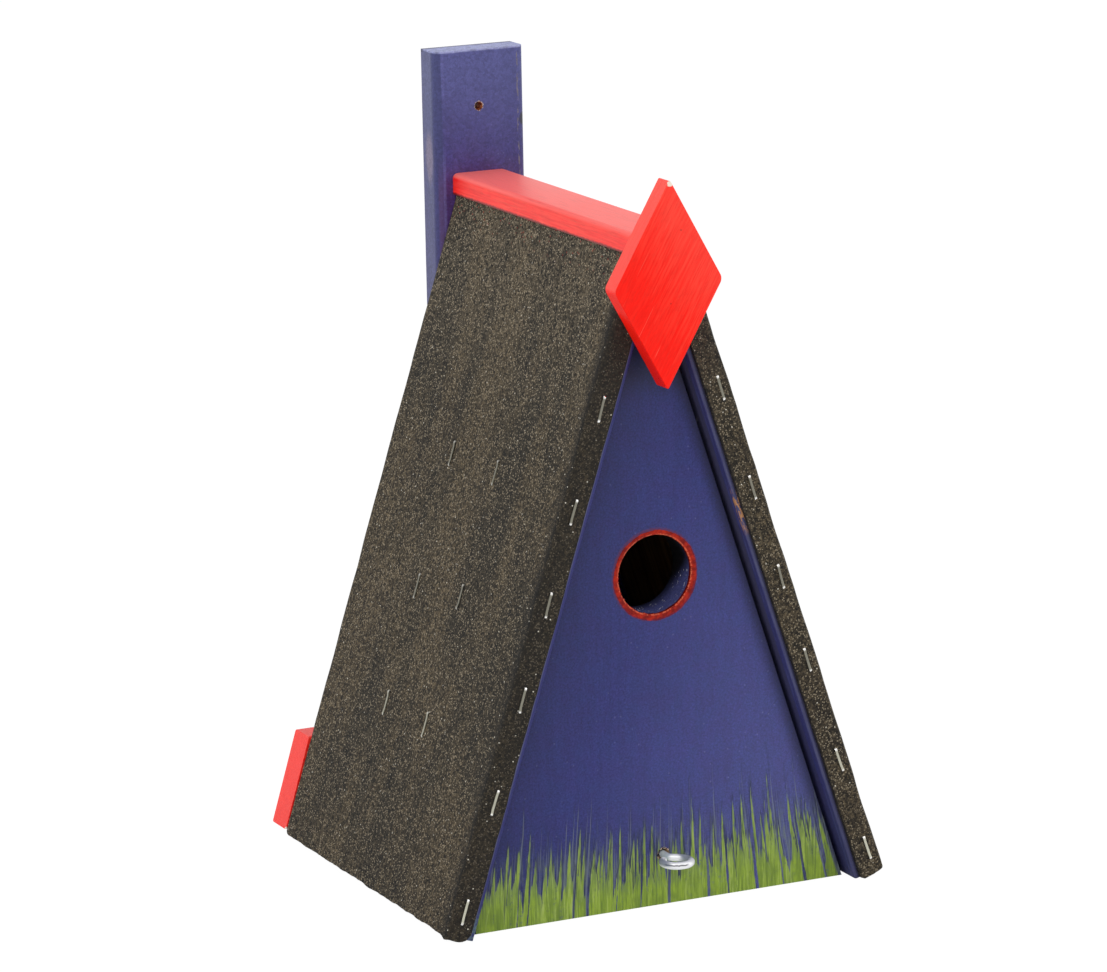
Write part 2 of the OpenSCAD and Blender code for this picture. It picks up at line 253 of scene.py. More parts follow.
# %% A helper for shader graphs
class Graph:
    """A material whose graph is written as calls. Sizes are in millimetres."""

    def __init__(self, name, metallic=0.0, specular=0.5):
        self.material = bpy.data.materials.new(name)
        self.material.use_nodes = True
        self.tree = self.material.node_tree
        self.shader = self.tree.nodes["Principled BSDF"]
        self.shader.inputs["Metallic"].default_value = metallic
        self.shader.inputs["Specular IOR Level"].default_value = specular
        self.place = self.node("ShaderNodeTexCoord").outputs["Object"]

    def node(self, kind, settings=(), **inputs):
        """A new node with its settings, and its inputs by name."""
        made = self.tree.nodes.new(kind)
        for key, value in dict(settings).items():
            setattr(made, key, value)
        for key, value in inputs.items():
            self.plug(made.inputs[key.replace("_", " ")], value)
        return made

    def plug(self, socket, value):
        """Links a socket to another one, or sets its value."""
        if isinstance(value, bpy.types.NodeSocket):
            self.tree.links.new(value, socket)
        elif value is not None:
            socket.default_value = value

    def math(self, operation, a, b=None, c=None, clamp=False):
        """A sum of up to three values, by the name of Blender's operation."""
        made = self.node("ShaderNodeMath", {"operation": operation, "use_clamp": clamp})
        for socket, value in zip(made.inputs, (a, b, c)):
            self.plug(socket, value)
        return made.outputs[0]

    def times(self, a, b):
        """a times b."""
        return self.math("MULTIPLY", a, b)

    def plus(self, a, b):
        """a plus b."""
        return self.math("ADD", a, b)

    def minus(self, a, b, clamp=False):
        """a minus b, kept between 0 and 1 by clamp."""
        return self.math("SUBTRACT", a, b, clamp=clamp)

    def scaled(self, value, gain, shift):
        """value times gain, plus shift."""
        return self.math("MULTIPLY_ADD", value, gain, shift)

    def off(self, value, level):
        """How far value is from a level, on either side."""
        return self.math("ABSOLUTE", self.minus(value, level))

    def both(self, *masks):
        """Where every mask is 1: their product."""
        product = masks[0]
        for mask in masks[1:]:
            product = self.times(product, mask)
        return product

    def step(self, value, low, high, kind="SMOOTHSTEP"):
        """0 up to low, 1 from high, and a soft rise between; low may lie above high."""
        made = self.node("ShaderNodeMapRange", {"interpolation_type": kind, "clamp": True})
        for name, v in (("Value", value), ("From Min", low), ("From Max", high)):
            self.plug(made.inputs[name], v)
        return made.outputs["Result"]

print("sums and masks:", [name for name in vars(Graph) if not name.startswith("_")])

# %% [markdown]
# Most masks on this box start from a distance: from an arris, from the foot, from the middle of a hole. The
# vector from a place to the point on the surface, times a direction, gives it, and lengths follow from two
# or three of those. Values that a mesh keeps at its points come in here as well.

# %% Distances on a piece
class Places(Graph):
    """A graph that measures where a point of the surface is, in millimetres."""

    def along(self, direction, origin=(0, 0, 0)):
        """Distance from origin along a direction, in millimetres."""
        away = self.node("ShaderNodeVectorMath", {"operation": "SUBTRACT"})
        self.plug(away.inputs[0], self.place)
        self.plug(away.inputs[1], tuple(origin))
        dot = self.node("ShaderNodeVectorMath", {"operation": "DOT_PRODUCT"})
        self.plug(dot.inputs[0], away.outputs[0])
        self.plug(dot.inputs[1], tuple(c / MM for c in direction))
        return dot.outputs["Value"]

    def away(self, *distances):
        """Length of a vector from two or three of its parts: the root of the sum of their squares."""
        total = self.times(distances[0], distances[0])
        for distance in distances[1:]:
            total = self.scaled(distance, distance, total)
        return self.math("SQRT", total)

    def from_axis(self, place):
        """Distance from an axis that runs back through a place."""
        return self.away(self.along(ACROSS, place), self.along(UP, place))

    def mark(self, name):
        """A value that was stored at the mesh's points."""
        return self.node("ShaderNodeAttribute", {"attribute_name": name}).outputs["Fac"]

print("distances:", [name for name in vars(Places) if not name.startswith("_")])

# %% [markdown]
# The last part of the helper holds the patterns and what is done with them. A finish is built up as paint
# is: a first colour is shaded by noise, and then one coat after another goes over it through a mask.

# %% Patterns and coats
class Finish(Places):
    """A whole finish: noise, grains, coats of colour, and relief."""

    def stretched(self, along, stretch):
        """Coordinates in which a pattern runs stretch times longer along a direction."""
        turn = Vector(along).rotation_difference(Vector(UP)).to_euler()
        turned = self.node("ShaderNodeMapping", Vector=self.place, Rotation=tuple(turn), Location=(0, 0, 0))
        return self.node("ShaderNodeMapping", Vector=turned.outputs[0], Scale=(1, 1, 1 / stretch)).outputs[0]

    def noise(self, size, detail=3, rough=0.5, along=None, stretch=1):
        """Cloudy noise from 0 to 1 whose features measure about size millimetres, and stretch times that
        along a direction."""
        place = self.place if along is None else self.stretched(along, stretch)
        made = self.node("ShaderNodeTexNoise", Vector=place, Scale=1 / (size * MM))
        self.plug(made.inputs["Detail"], detail)
        self.plug(made.inputs["Roughness"], rough)
        return made.outputs["Fac"]

    def cells(self, size):
        """Grains of about size millimetres: three random values each, and the distance from its middle."""
        made = self.node("ShaderNodeTexVoronoi", Vector=self.place, Scale=1 / (size * MM))
        parts = self.node("ShaderNodeSeparateColor", Color=made.outputs["Color"])
        return parts.outputs, made.outputs["Distance"]

    def dots(self, size, share, radius, channel=0):
        """A mask of round specks in the share of the grains that is left over share; each pair fades."""
        chance, near = self.cells(size)
        return self.both(self.step(chance[channel], *share), self.step(near, *radius))

    def mix(self, factor, a, b):
        """Colour a where factor is 0 and b where it is 1."""
        made = self.node("ShaderNodeMix", {"data_type": "RGBA"})
        for index, value in ((0, factor), (6, a), (7, b)):
            self.plug(made.inputs[index], value)
        return made.outputs[2]

    def coat(self, colour, over, mask, strength=None):
        """colour with over laid on it where mask is 1, and only to a share where there is a strength."""
        return self.mix(mask if strength is None else self.times(mask, strength), colour, over)

    def shade(self, colour, amount, value):
        """colour made darker or lighter: times 1 - amount where value is 0, and 1 + amount where it is 1."""
        gain = self.scaled(value, 2 * amount, 1 - amount)
        made = self.node("ShaderNodeVectorMath", {"operation": "SCALE"}, Scale=gain)
        self.plug(made.inputs[0], colour if isinstance(colour, bpy.types.NodeSocket) else colour[:3])
        return made.outputs[0]

    def bump(self, height, depth):
        """Fine relief: height from 0 to 1 stands for depth millimetres."""
        return self.node("ShaderNodeBump", Height=height, Distance=depth * MM, Strength=1.0).outputs[0]

    def finish(self, colour, roughness, normal=None):
        """The material, with its colour, roughness and relief plugged in."""
        for name, value in (("Base Color", colour), ("Roughness", roughness), ("Normal", normal)):
            self.plug(self.shader.inputs[name], value)
        return self.material

def linear(value):
    """A display value from 0 to 255 as linear light. With v = value / 255, it is ((v + 0.055) / 1.055) ^ 2.4,
    and v / 12.92 where that curve starts."""
    v = value / 255
    return ((v + 0.055) / 1.055) ** 2.4 if value > 10 else v / 12.92

def srgb(red, green, blue):
    """A colour given as display values, as its three shares of linear light and full cover."""
    return linear(red), linear(green), linear(blue), 1.0

print("a display value of 128 is", round(linear(128), 3), "of the light of 255")

# %% [markdown]
# ## Paint and wood
# Matte blue paint was brushed on raw softwood, so it is mottled, slightly streaked along each board and
# worn through on a few arrises. A picture of paint would have to be laid out on each board, while noise in
# millimetres fits them all. Three things build it up: a base colour, clouds of several sizes that darken
# and lighten it, and masks between 0 and 1 that say where something else shows.

# %% Blue paint and bare wood
BLUE = srgb(47, 54, 120)
VIOLET = srgb(52, 48, 116)
PALE_SPECK = srgb(112, 116, 168)
EARLY_WOOD = srgb(196, 152, 104)
LATE_WOOD = srgb(158, 108, 62)

def wood_colour(f, grain_along):
    """Softwood: wide bands of early wood and thin dark lines of late wood, long in the grain's direction."""
    bands = f.noise(4.5, 3, 0.55, grain_along, 14)
    lines = f.noise(0.9, 3, 0.6, grain_along, 30)
    colour = f.coat(EARLY_WOOD, LATE_WOOD, f.step(bands, 0.42, 0.62))
    return f.shade(colour, 0.22, lines), lines

def blue_colour(f, grain_along, tint=BLUE):
    """Brushed blue with clouds, strokes along the grain and fine specks, and the height of its relief."""
    strokes = f.noise(2.2, 3, 0.6, grain_along, 10)
    speck = f.noise(0.7, 2)
    colour = f.coat(tint, VIOLET, f.step(f.noise(6, 4, 0.6), 0.35, 0.65), 0.5)
    clouds, roughness = f.noise(38, 2), f.noise(1.0, 4, 0.8)
    for amount, pattern in ((0.14, clouds), (0.68, roughness), (0.2, strokes), (0.5, speck)):
        colour = f.shade(colour, amount, pattern)
    colour = f.coat(colour, PALE_SPECK, f.dots(2.6, (0.86, 0.9), (0.2, 0.08)), 0.3)
    return colour, f.plus(f.times(strokes, 0.6), f.times(speck, 0.4))

def painted_blue(name, grain_along=UP, inside=None, extra=None, tint=BLUE):
    """The blue finish. inside(f) is a mask of bare wood, and extra(f, colour) changes the paint."""
    f = Finish(name, specular=0.3)
    colour, height = blue_colour(f, grain_along, tint)
    if extra:
        colour = extra(f, colour)
    if inside:
        bare, _ = wood_colour(f, grain_along)
        colour = f.coat(colour, f.shade(bare, 0.35, 0.0), inside(f))
    return f.finish(colour, 0.5, f.bump(height, 0.12))

def bare_wood(name, grain_along):
    """Planed softwood without paint: the two woods, and its lines as relief."""
    f = Finish(name, specular=0.25)
    colour, lines = wood_colour(f, grain_along)
    return f.finish(colour, 0.7, f.bump(lines, 0.12))

pine = bare_wood("bare_wood", ACROSS)
print("bare wood has", len(pine.node_tree.nodes), "nodes")

# %% [markdown]
# No board has a knife edge: the plane, sandpaper and paint break every arris. Each board could be modelled
# anew, but a copy of the construction's piece keeps its exact size. That mesh is loose triangles, so the
# copy is merged and its flat faces joined before a bevel can follow the edges. An edge weight lets some
# arrises be rounder than the rest.

# %% Boards with broken arrises
SAME_WAY = 0.99
FLAT = math.radians(0.5)
ARRIS = math.radians(30)
CRISP = math.radians(35)

def lies_between(edge, pairs):
    """Whether an edge's two faces look along one of the pairs of directions, in either order."""
    if len(edge.link_faces) != 2:
        return False
    one, other = (face.normal for face in edge.link_faces)
    both_ways = [order for a, b in pairs for order in ((a, b), (b, a))]
    return any(one.dot(a) > SAME_WAY and other.dot(b) > SAME_WAY for a, b in both_ways)

def broken_arrises(node, finish, width, rounder=(), radius=1.6):
    """A merged copy of a CAD piece whose arrises are rounded by a bevel of width millimetres.
    rounder lists the pairs of directions between which an arris is rounded by radius instead."""
    mesh = nodes[node].data.copy()
    mesh.name = node + "_board"
    merged = bmesh.new()
    merged.from_mesh(mesh)
    bmesh.ops.remove_doubles(merged, verts=merged.verts, dist=1e-6)
    bmesh.ops.dissolve_limit(merged, angle_limit=FLAT, verts=merged.verts, edges=merged.edges)
    weight = merged.edges.layers.float.new("bevel_weight_edge")
    widest = radius if rounder else width
    for edge in merged.edges:
        if edge.calc_face_angle(0) > ARRIS:
            edge[weight] = 1.0 if lies_between(edge, rounder) else width / widest
    merged.to_mesh(mesh)
    merged.free()
    mesh.shade_smooth()
    mesh.set_sharp_from_angle(angle=CRISP)
    mesh.materials.clear()
    mesh.materials.append(finish)
    piece = bpy.data.objects.new(node + "_board", mesh)
    bpy.context.scene.collection.objects.link(piece)
    bevel = piece.modifiers.new("arrises", "BEVEL")
    bevel.width = widest * MM
    bevel.segments = 5 if rounder else 3
    bevel.limit_method = "WEIGHT"
    bevel.harden_normals = True
    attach(piece, body_of[node])
    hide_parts(node)
    print(node, "has", len(mesh.edges), "edges, rounded by", width, "mm")
    return piece

# %% [markdown]
# ## Roof boards
# The roof boards are painted outside and at their edges, but nobody paints the inside of a chamber. The
# front edges are what a hand meets first, so they are rubbed: a mask follows each edge by its distance from
# it, and noise that is stretched along the slope breaks the mask up, as wear does. On the right board, light
# and shade are painted along the front edge too: a lighter band and a highlight line behind the arris, a
# highlight on the arris, and a shadow beside the felt.

# %% Rubbed edges, with painted light and shade
THIN_PAINT = srgb(68, 66, 84)
LIT_INNER_BAND = srgb(64, 63, 98)
HIGHLIGHT_LINE = srgb(104, 108, 146)
GREY_PAINT = srgb(58, 58, 82)
SHADED_EDGE = srgb(28, 26, 30)
ARRIS_HIGHLIGHT = srgb(90, 92, 124)
SHOWN_WOOD = srgb(176, 126, 84)
THIN_VIOLET = srgb(42, 42, 98)
PALE_VIOLET = srgb(104, 106, 138)
GREEN_FOOT = srgb(86, 108, 118)

board_front = points_of("right_roof_board")[:, 1].min()

def behind(f, y):
    """Distance behind an upright plane across the box."""
    return f.along(BACK, (0, y, 0))

def above(f, z):
    """Distance above a level."""
    return f.along(UP, (0, 0, z))

def rubbed_and_lit_arris(f, colour):
    """The right board's inner face took less paint. At its front edge light and shade are painted: a lighter
    band and a highlight line behind the arris, a highlight on it, and a shadow beside the felt. In one place
    the arris is rubbed to the wood.
    """
    slope = slopes["right"]
    out = f.along(slope.out, slope.foot)
    depth = behind(f, board_front)
    climb = f.along(slope.up, slope.foot)
    patchy = f.noise(3.5, 3, 0.6, slope.up, 5)
    inner = f.step(out, 0.8, 0.0)
    thin = f.both(inner, f.step(depth, 3.0, 5.0), f.scaled(f.step(climb, 20, 130), 0.3, 0.5))
    colour = f.coat(colour, THIN_PAINT, thin)
    # Painted light: a lighter band on the inner face just behind the arris.
    colour = f.coat(colour, LIT_INNER_BAND, f.both(inner, f.step(depth, 4.2, 2.6)), 0.6)
    # Painted highlight: a pale, broken line along the inner face behind the arris.
    line = f.both(inner, f.step(f.off(depth, 3.2), 0.9, 0.4), f.step(patchy, 0.36, 0.6))
    colour = f.coat(colour, HIGHLIGHT_LINE, line, 0.25)
    front = f.both(f.step(depth, 0.7, 0.2), f.step(out, -0.3, 0.2))
    colour = f.coat(colour, GREY_PAINT, front, 0.7)
    # Painted shadow on the front face beside the felt.
    colour = f.coat(colour, SHADED_EDGE, f.both(front, f.times(f.step(out, 0.7, 1.7), 0.6)))
    # Painted highlight on the arris itself, patchy.
    near = f.away(out, depth)
    pale = f.both(f.step(near, 1.1, 0.5), f.scaled(f.step(patchy, 0.4, 0.6), 0.3, 0.12))
    colour = f.coat(colour, ARRIS_HIGHLIGHT, pale)
    spot = f.both(f.step(f.off(climb, 165), 12, 4), f.step(near, 2.2, 1.2))
    spot = f.both(spot, f.step(f.noise(1.0, 3, 0.6, slope.up, 3), 0.46, 0.56))
    return f.coat(colour, SHOWN_WOOD, spot)

def thin_arris(f, colour):
    """The left board's front edge has one thin, violet coat, pale at the felt and green at the foot."""
    slope = slopes["left"]
    front = f.step(behind(f, board_front), 2.0, 1.0)
    patchy = f.noise(1.8, 3, 0.6)
    colour = f.coat(colour, THIN_VIOLET, f.both(front, f.scaled(patchy, 0.4, 0.4)))
    pale = f.both(front, f.step(f.along(slope.out, slope.foot), 1.1, 1.9), f.scaled(patchy, 0.5, 0.35))
    colour = f.coat(colour, PALE_VIOLET, pale)
    foot = f.step(f.along(slope.up, slope.foot), 16, 4)
    return f.coat(colour, GREEN_FOOT, f.both(front, foot, f.step(patchy, 0.35, 0.6)))

print("front edges of the boards at", round(board_front / MM, 1), "mm")

# %% [markdown]
# Both boards take the same paint, stroked along the slope, each with the wear of its own edge, and the
# right one with painted light and shade there. Inside, the bare wood starts behind the front panel and ends
# at the back one, where the painter's brush could not reach.

# %% Roof boards
front_depths = points_of("front_panel")[:, 1]
front_face, front_rear = front_depths.min(), front_depths.max()
back_face = points_of("back_panel")[:, 1].min()

def chamber_side(slope):
    """A function that masks a board's inner face between the front and the back panel."""
    def mask(f):
        """1 on the bare inner face and 0 on the paint."""
        between = f.both(f.step(behind(f, front_rear), -0.5, 1.5), f.step(behind(f, back_face), 0.5, -0.5))
        return f.both(between, f.step(f.along(slope.out, slope.foot), 1.0, 0.3))
    return mask

for side, worn in (("left", thin_arris), ("right", rubbed_and_lit_arris)):
    slope = slopes[side]
    finish = painted_blue(f"blue_paint_{side}", slope.up, chamber_side(slope), worn)
    broken_arrises(f"{side}_roof_board", finish, 0.25)

# %% [markdown]
# ## Painted grass
# Grass is painted over the front's foot with upright strokes of an almost dry brush. The blades could be
# thin pieces on the board, but paint has no thickness to speak of, so they are drawn in the finish. A row
# of blades divides the board into upright cells, one blade each. A blade has a height of its own, stays
# about as wide as the brush and tapers near its tip, where share = height / top and width = half * (1.3 -
# share / 3) * (1 - share ^ 3). Noise that is very long upwards stands for the bristles: it frays the tips
# and leaves dry lines.

# %% Blades of grass
def random_of(f, whole, row):
    """Three random values for each whole number, different in each row."""
    place = f.node("ShaderNodeCombineXYZ", X=whole, Y=row * 7.3)
    made = f.node("ShaderNodeTexWhiteNoise", {"noise_dimensions": "3D"}, Vector=place.outputs[0])
    return f.node("ShaderNodeSeparateColor", Color=made.outputs["Color"]).outputs

def blades(f, sizes, row, x, z, right, bristles):
    """For one row of blades: its mask, the mask of its dark contours, how far inside a blade in millimetres,
    the height as a share of the blade's, and a random value per blade."""
    width, half, height, gain, spread, filled = sizes
    cell = f.scaled(x, 1 / width, 0.37 * row)
    chance = random_of(f, f.math("FLOOR", cell), row)
    room = 1 - 2.4 * half
    middle = f.scaled(chance[0], room, 0.5 - room / 2)
    beside = f.off(f.math("FRACT", cell), middle)
    top = f.scaled(f.math("POWER", chance[1], 1.5), spread, f.scaled(right, gain, height))
    top = f.plus(top, f.times(f.step(right, 0.3, 0.18), 5.0))
    frayed = f.scaled(f.minus(bristles, 0.5), -0.7, f.math("DIVIDE", z, top))
    share = f.math("MAXIMUM", frayed, 0.0)
    taper = f.minus(1.0, f.math("POWER", share, 3.0), clamp=True)
    taper = f.times(taper, f.scaled(share, -half / 3, 1.3 * half))
    inside = f.times(f.minus(taper, beside), width)
    dry = f.step(f.scaled(f.math("POWER", share, 2.0), -0.4, bristles), 0.07, 0.17)
    here = f.math("LESS_THAN", chance[2], filled)
    mask = f.both(f.step(inside, -0.1, 0.25), dry, here)
    beside_it = f.both(f.step(inside, -0.75, -0.35), f.step(inside, 0.1, -0.15))
    contour = f.both(beside_it, f.step(share, 1.08, 0.98), here)
    return mask, contour, inside, share, chance[1]

def missed(f, x):
    """Narrow upright lines, one in each 12 millimetres, that the brush left out: 0 there and 1 elsewhere."""
    every = 12
    cell = f.times(x, 1 / every)
    chance = random_of(f, f.math("FLOOR", cell), 31)
    beside = f.times(f.off(f.math("FRACT", cell), f.scaled(chance[0], 0.8, 0.1)), every)
    narrow = f.scaled(chance[1], 0.55, f.scaled(f.noise(2.2, 4, 0.7, UP, 5), 1.3, -0.65))
    return f.step(f.minus(beside, narrow), 0.0, 0.3)

for share in (0.0, 0.5, 0.9):
    width = (1.3 - share / 3) * (1 - share ** 3)
    print("at", share, "of its height a blade has", round(width, 2), "of its width")

# %% [markdown]
# Eight rows of blades lie over each other. Three rows of pale streaks come first, where the brush ran dry
# high up on the blue, then three fine rows of green, and two coarse ones that cover the foot. The whole
# field leans a little outwards to the right, and it stops short of the front's slanted edges.

# %% The field of grass
GREEN = srgb(142, 168, 52)
DARK_GREEN = srgb(100, 124, 48)
PALE_GREEN = srgb(164, 182, 100)
TIP_GREEN = srgb(100, 120, 84)
# Width of a cell, half a blade as a share of it, height at the left, gain to the right, spread, share filled
STREAKS = [(2.2, 0.16, 24, 13, 18, 0.62), (3.1, 0.13, 21, 13, 24, 0.7), (1.7, 0.17, 14, 10, 16, 0.5)]
FINE_ROWS = [(4.7, 0.19, 21, 11, 17, 0.85), (3.7, 0.22, 16, 10, 15, 0.80), (2.9, 0.24, 15, 9, 13, 0.65)]
COARSE_ROWS = [(5.1, 0.35, 11, 7, 10, 0.80), (7.9, 0.41, 8, 6, 7, 0.95)]

def blade_green(f, inside, share, chance, bristles, patches):
    """Green that varies with the bristles and in patches, paler at a blade's edges and dull at its tip."""
    green = f.mix(f.step(bristles, 0.3, 0.6), DARK_GREEN, GREEN)
    green = f.coat(green, DARK_GREEN, f.step(patches, 0.6, 0.35), 0.6)
    edge = f.both(f.step(inside, 0.7, 0.15), f.step(bristles, 0.4, 0.6))
    fresh = f.both(f.step(chance, 0.6, 0.9), f.step(bristles, 0.5, 0.7))
    green = f.coat(green, PALE_GREEN, f.math("MAXIMUM", f.times(edge, 0.45), fresh))
    return f.coat(green, TIP_GREEN, f.step(share, 0.45, 1.0), 0.6)

print("rows of blades:", len(STREAKS + FINE_ROWS + COARSE_ROWS))

# %% [markdown]
# The rows share one place for each point: x is shifted by the lean and wavers a little, so that no blade is
# ruled, and z is the height over the foot. Bristles, patches and breaks are shared as well, because one
# brush made them all. Where the masks of the rows overlap, the largest counts, and it also raises the
# paint.

# %% Grass over the blue
CONTOUR = srgb(36, 42, 66)
DRY_STREAK = srgb(118, 128, 130)
HAZE = srgb(108, 122, 104)
CONTOURED_ROWS = 4
front_foot = points_of("front_panel")[:, 2].min()

def streaked(f, colour, x, z, right, bristles, broken, patches):
    """colour with dry streaks and a thin haze of green over it, above and between the blades."""
    for number, sizes in enumerate(STREAKS):
        streak, contour, _, _, chance = blades(f, sizes, 9 + number, x, z, right, bristles)
        colour = f.coat(colour, CONTOUR, f.both(contour, broken), 0.35)
        colour = f.coat(colour, DRY_STREAK, f.both(streak, f.scaled(chance, 0.35, 0.15)))
    low = f.step(z, f.scaled(right, 11, 31), f.scaled(right, 6, 14))
    thin = f.step(f.noise(0.8, 3, 0.7, UP, 18), 0.44, 0.6)
    return f.coat(colour, HAZE, f.both(low, thin, f.step(patches, 0.35, 0.55)), 0.55)

def grass(f, colour):
    """colour with the grass painted over it, and the grass's mask."""
    z = above(f, front_foot)
    right = f.step(f.along(ACROSS), -80, 80, "LINEAR")
    lean = f.scaled(f.math("POWER", right, 2.0), -0.34, 0.1)
    x = f.scaled(f.noise(9, 2, 0.5, UP, 3), 1.4, f.minus(f.along(ACROSS), f.times(lean, z)))
    bristles = f.noise(0.6, 3, 0.7, UP, 26)
    patches = f.noise(5, 3, 0.6, UP, 2)
    broken = f.step(f.noise(1.1, 3, 0.7, UP, 12), 0.4, 0.6)
    colour = streaked(f, colour, x, z, right, bristles, broken, patches)
    edges = [f.along(-slopes[side].out, slopes[side].foot) for side in ("left", "right")]
    kept = f.both(missed(f, x), f.step(edges[0], 3.0, 3.8), f.step(edges[1], 3.4, 4.6))
    pores, _ = f.cells(0.9)
    kept = f.times(kept, f.minus(1.0, f.times(f.step(pores[0], 0.9, 0.93), 0.3)))
    painted = None
    for row, sizes in enumerate(FINE_ROWS + COARSE_ROWS):
        mask, contour, inside, share, chance = blades(f, sizes, row, x, z, right, bristles)
        mask = f.times(mask, kept)
        if row < CONTOURED_ROWS:
            colour = f.coat(colour, CONTOUR, f.both(contour, broken), 0.7)
        colour = f.coat(colour, blade_green(f, inside, share, chance, bristles, patches), mask, 0.93)
        painted = mask if painted is None else f.math("MAXIMUM", painted, mask)
    return colour, painted

print("rows with dark contours:", CONTOURED_ROWS, "over a foot at", round(front_foot / MM, 1), "mm")

# %% [markdown]
# ## Front panel
# The front carries the grass, the stained ring round the entrance and a torn mouth for the screw eye. Light
# and shade are painted into its blue: it is lighter and hazier to the lower right, and dark where the right
# board and the diamond keep the light off. The bore is painted too; its lower right wall is painted lighter,
# as lit, and the rest of it dark, as painted shade; the back is bare wood.

# %% Front panel
CORNER_SHADE = srgb(20, 19, 24)
DIAMOND_SHADE = srgb(22, 18, 22)
LIT_BORE_PAINT = srgb(76, 80, 132)
BORE_SHADE = srgb(13, 12, 15)
TORN_MOUTH = srgb(120, 92, 66)
MOUTH_SHADE = srgb(14, 10, 8)
RED_STAIN = srgb(98, 30, 52)
WHITE = (1.0, 1.0, 1.0, 1.0)
diamond_points = points_of("gable_diamond")
diamond_foot = diamond_points[:, 2].min()
eye_points = points_of("screw_eye")
eye_axis = (eye_points.min(0) + eye_points.max(0)) / 2
entrance = np.array(mounts["entrance_hole"]["pos_m"])
entrance_r = mounts["entrance_hole"]["dims"]["r_mm"]

def painted_light_on_front(f, colour):
    """Painted light and shade: lighter and hazier to the lower right, and darker beside the right board and
    under the diamond.
    """
    # Painted light: the blue grows lighter, and near the corner whiter, towards the lower right.
    thin = f.plus(f.along((0.0068, 0, -0.0026), entrance), 0.82)
    less = f.math("MINIMUM", thin, f.scaled(thin, 0.5, 0.41))
    colour = f.shade(colour, 1.0, f.times(less, 0.5))
    colour = f.coat(colour, WHITE, f.times(f.minus(thin, 0.82, clamp=True), 0.045))
    corner = f.along(-slopes["right"].out, slopes["right"].foot)
    colour = f.coat(colour, CORNER_SHADE, f.step(corner, 8.7, 1.5), 0.7)
    return f.coat(colour, DIAMOND_SHADE, f.step(above(f, diamond_foot), -9, 4), 0.5)

def bore_and_mouth(f, colour):
    """The painted wall of the entrance, painted lighter as lit at its lower right and dark inside as painted
    shade, its red stain on the face, and the eye's torn mouth with painted shade at its upper left.
    """
    depth = behind(f, front_face)
    from_hole = f.from_axis(entrance)
    in_bore = f.step(from_hole, entrance_r + 0.9, entrance_r + 0.6)
    # The bore's wall is a lighter blue, painted as lit.
    wall = f.shade(LIT_BORE_PAINT, 1.1, f.noise(1.1, 4, 0.85))
    colour = f.coat(colour, wall, f.both(in_bore, f.step(depth, 0.3, 0.9)))
    # Painted shade: the bore goes dark inside, except at its lower right.
    lit = f.scaled(f.step(f.along((0.4, 0, -0.92), entrance), 0, 16), 13.0, -5.0)
    colour = f.coat(colour, BORE_SHADE, f.both(in_bore, f.step(f.minus(depth, lit), -1.0, 11.0)))
    # The mouth of the eye's hole: torn wood, with painted shade at its upper left.
    high_left = f.along((-0.6, 0, 0.8), eye_axis)
    mouth = f.mix(f.step(high_left, 0.2, 1.2), TORN_MOUTH, MOUTH_SHADE)
    colour = f.coat(colour, mouth, f.step(f.from_axis(eye_axis), 2.85, 2.5))
    spread = f.scaled(f.noise(1.4, 4, 0.7), 1.6, f.minus(from_hole, entrance_r + 0.8))
    stain = f.both(f.step(spread, 3.1, 1.9), f.step(from_hole, entrance_r + 0.9, entrance_r + 1.2))
    return f.coat(colour, RED_STAIN, stain, 0.6)

print("entrance: radius", entrance_r, "mm at", (entrance / MM).round(1), "mm")

# %% [markdown]
# On the front, order matters: the light and dark parts of the blue come first, then the grass on the face
# alone, then bare wood on the back, and the holes last, because they cut through all of it. The back panel
# and the floor need no marks of their own.

# %% Front, back and floor
def front_finish(name):
    """Blue, then the grass on the face, bare wood behind, and what surrounds the two holes."""
    f = Finish(name, specular=0.32)
    colour, height = blue_colour(f, UP)
    colour = painted_light_on_front(f, colour)
    leafy, painted = grass(f, colour)
    colour = f.coat(colour, leafy, f.step(behind(f, front_face), 1.2, 0.5))
    bare, _ = wood_colour(f, UP)
    colour = f.coat(colour, bare, f.step(behind(f, front_rear), -1.5, -0.3))
    colour = bore_and_mouth(f, colour)
    return f.finish(colour, 0.5, f.bump(f.scaled(painted, 0.5, height), 0.12))

broken_arrises("front_panel", front_finish("front_paint"), 0.35)
broken_arrises("back_panel", painted_blue("blue_paint_back", UP), 0.6)
broken_arrises("floor_panel", pine, 0.6)

# %% [markdown]
# ## Hanging batten
# The batten stands up in the weather, so it is the most worn piece: its right arris has a dent and chips,
# and raw wood shows in the hanging hole. Light is painted on it too: a sheen on its left face, a shade band
# on the rounded arris beside it, and a lighter top. Each mark is a mask made of distances from the batten's
# own edges, roughened by noise that is long along the batten.

# %% Hanging batten
SHEEN_ON_LEFT_FACE = srgb(98, 102, 132)
ARRIS_SHADE_BAND = srgb(56, 60, 102)
PALE_LINE = srgb(88, 90, 146)
CHIPPED_LINE = srgb(128, 120, 112)
DENT = srgb(52, 54, 56)
LIT_TOP_PAINT = srgb(152, 157, 200)
THIN_REAR = srgb(58, 58, 82)
SMUDGE = srgb(142, 128, 146)

batten_points = points_of("hanging_batten")
batten_low, batten_high = batten_points.min(0), batten_points.max(0)

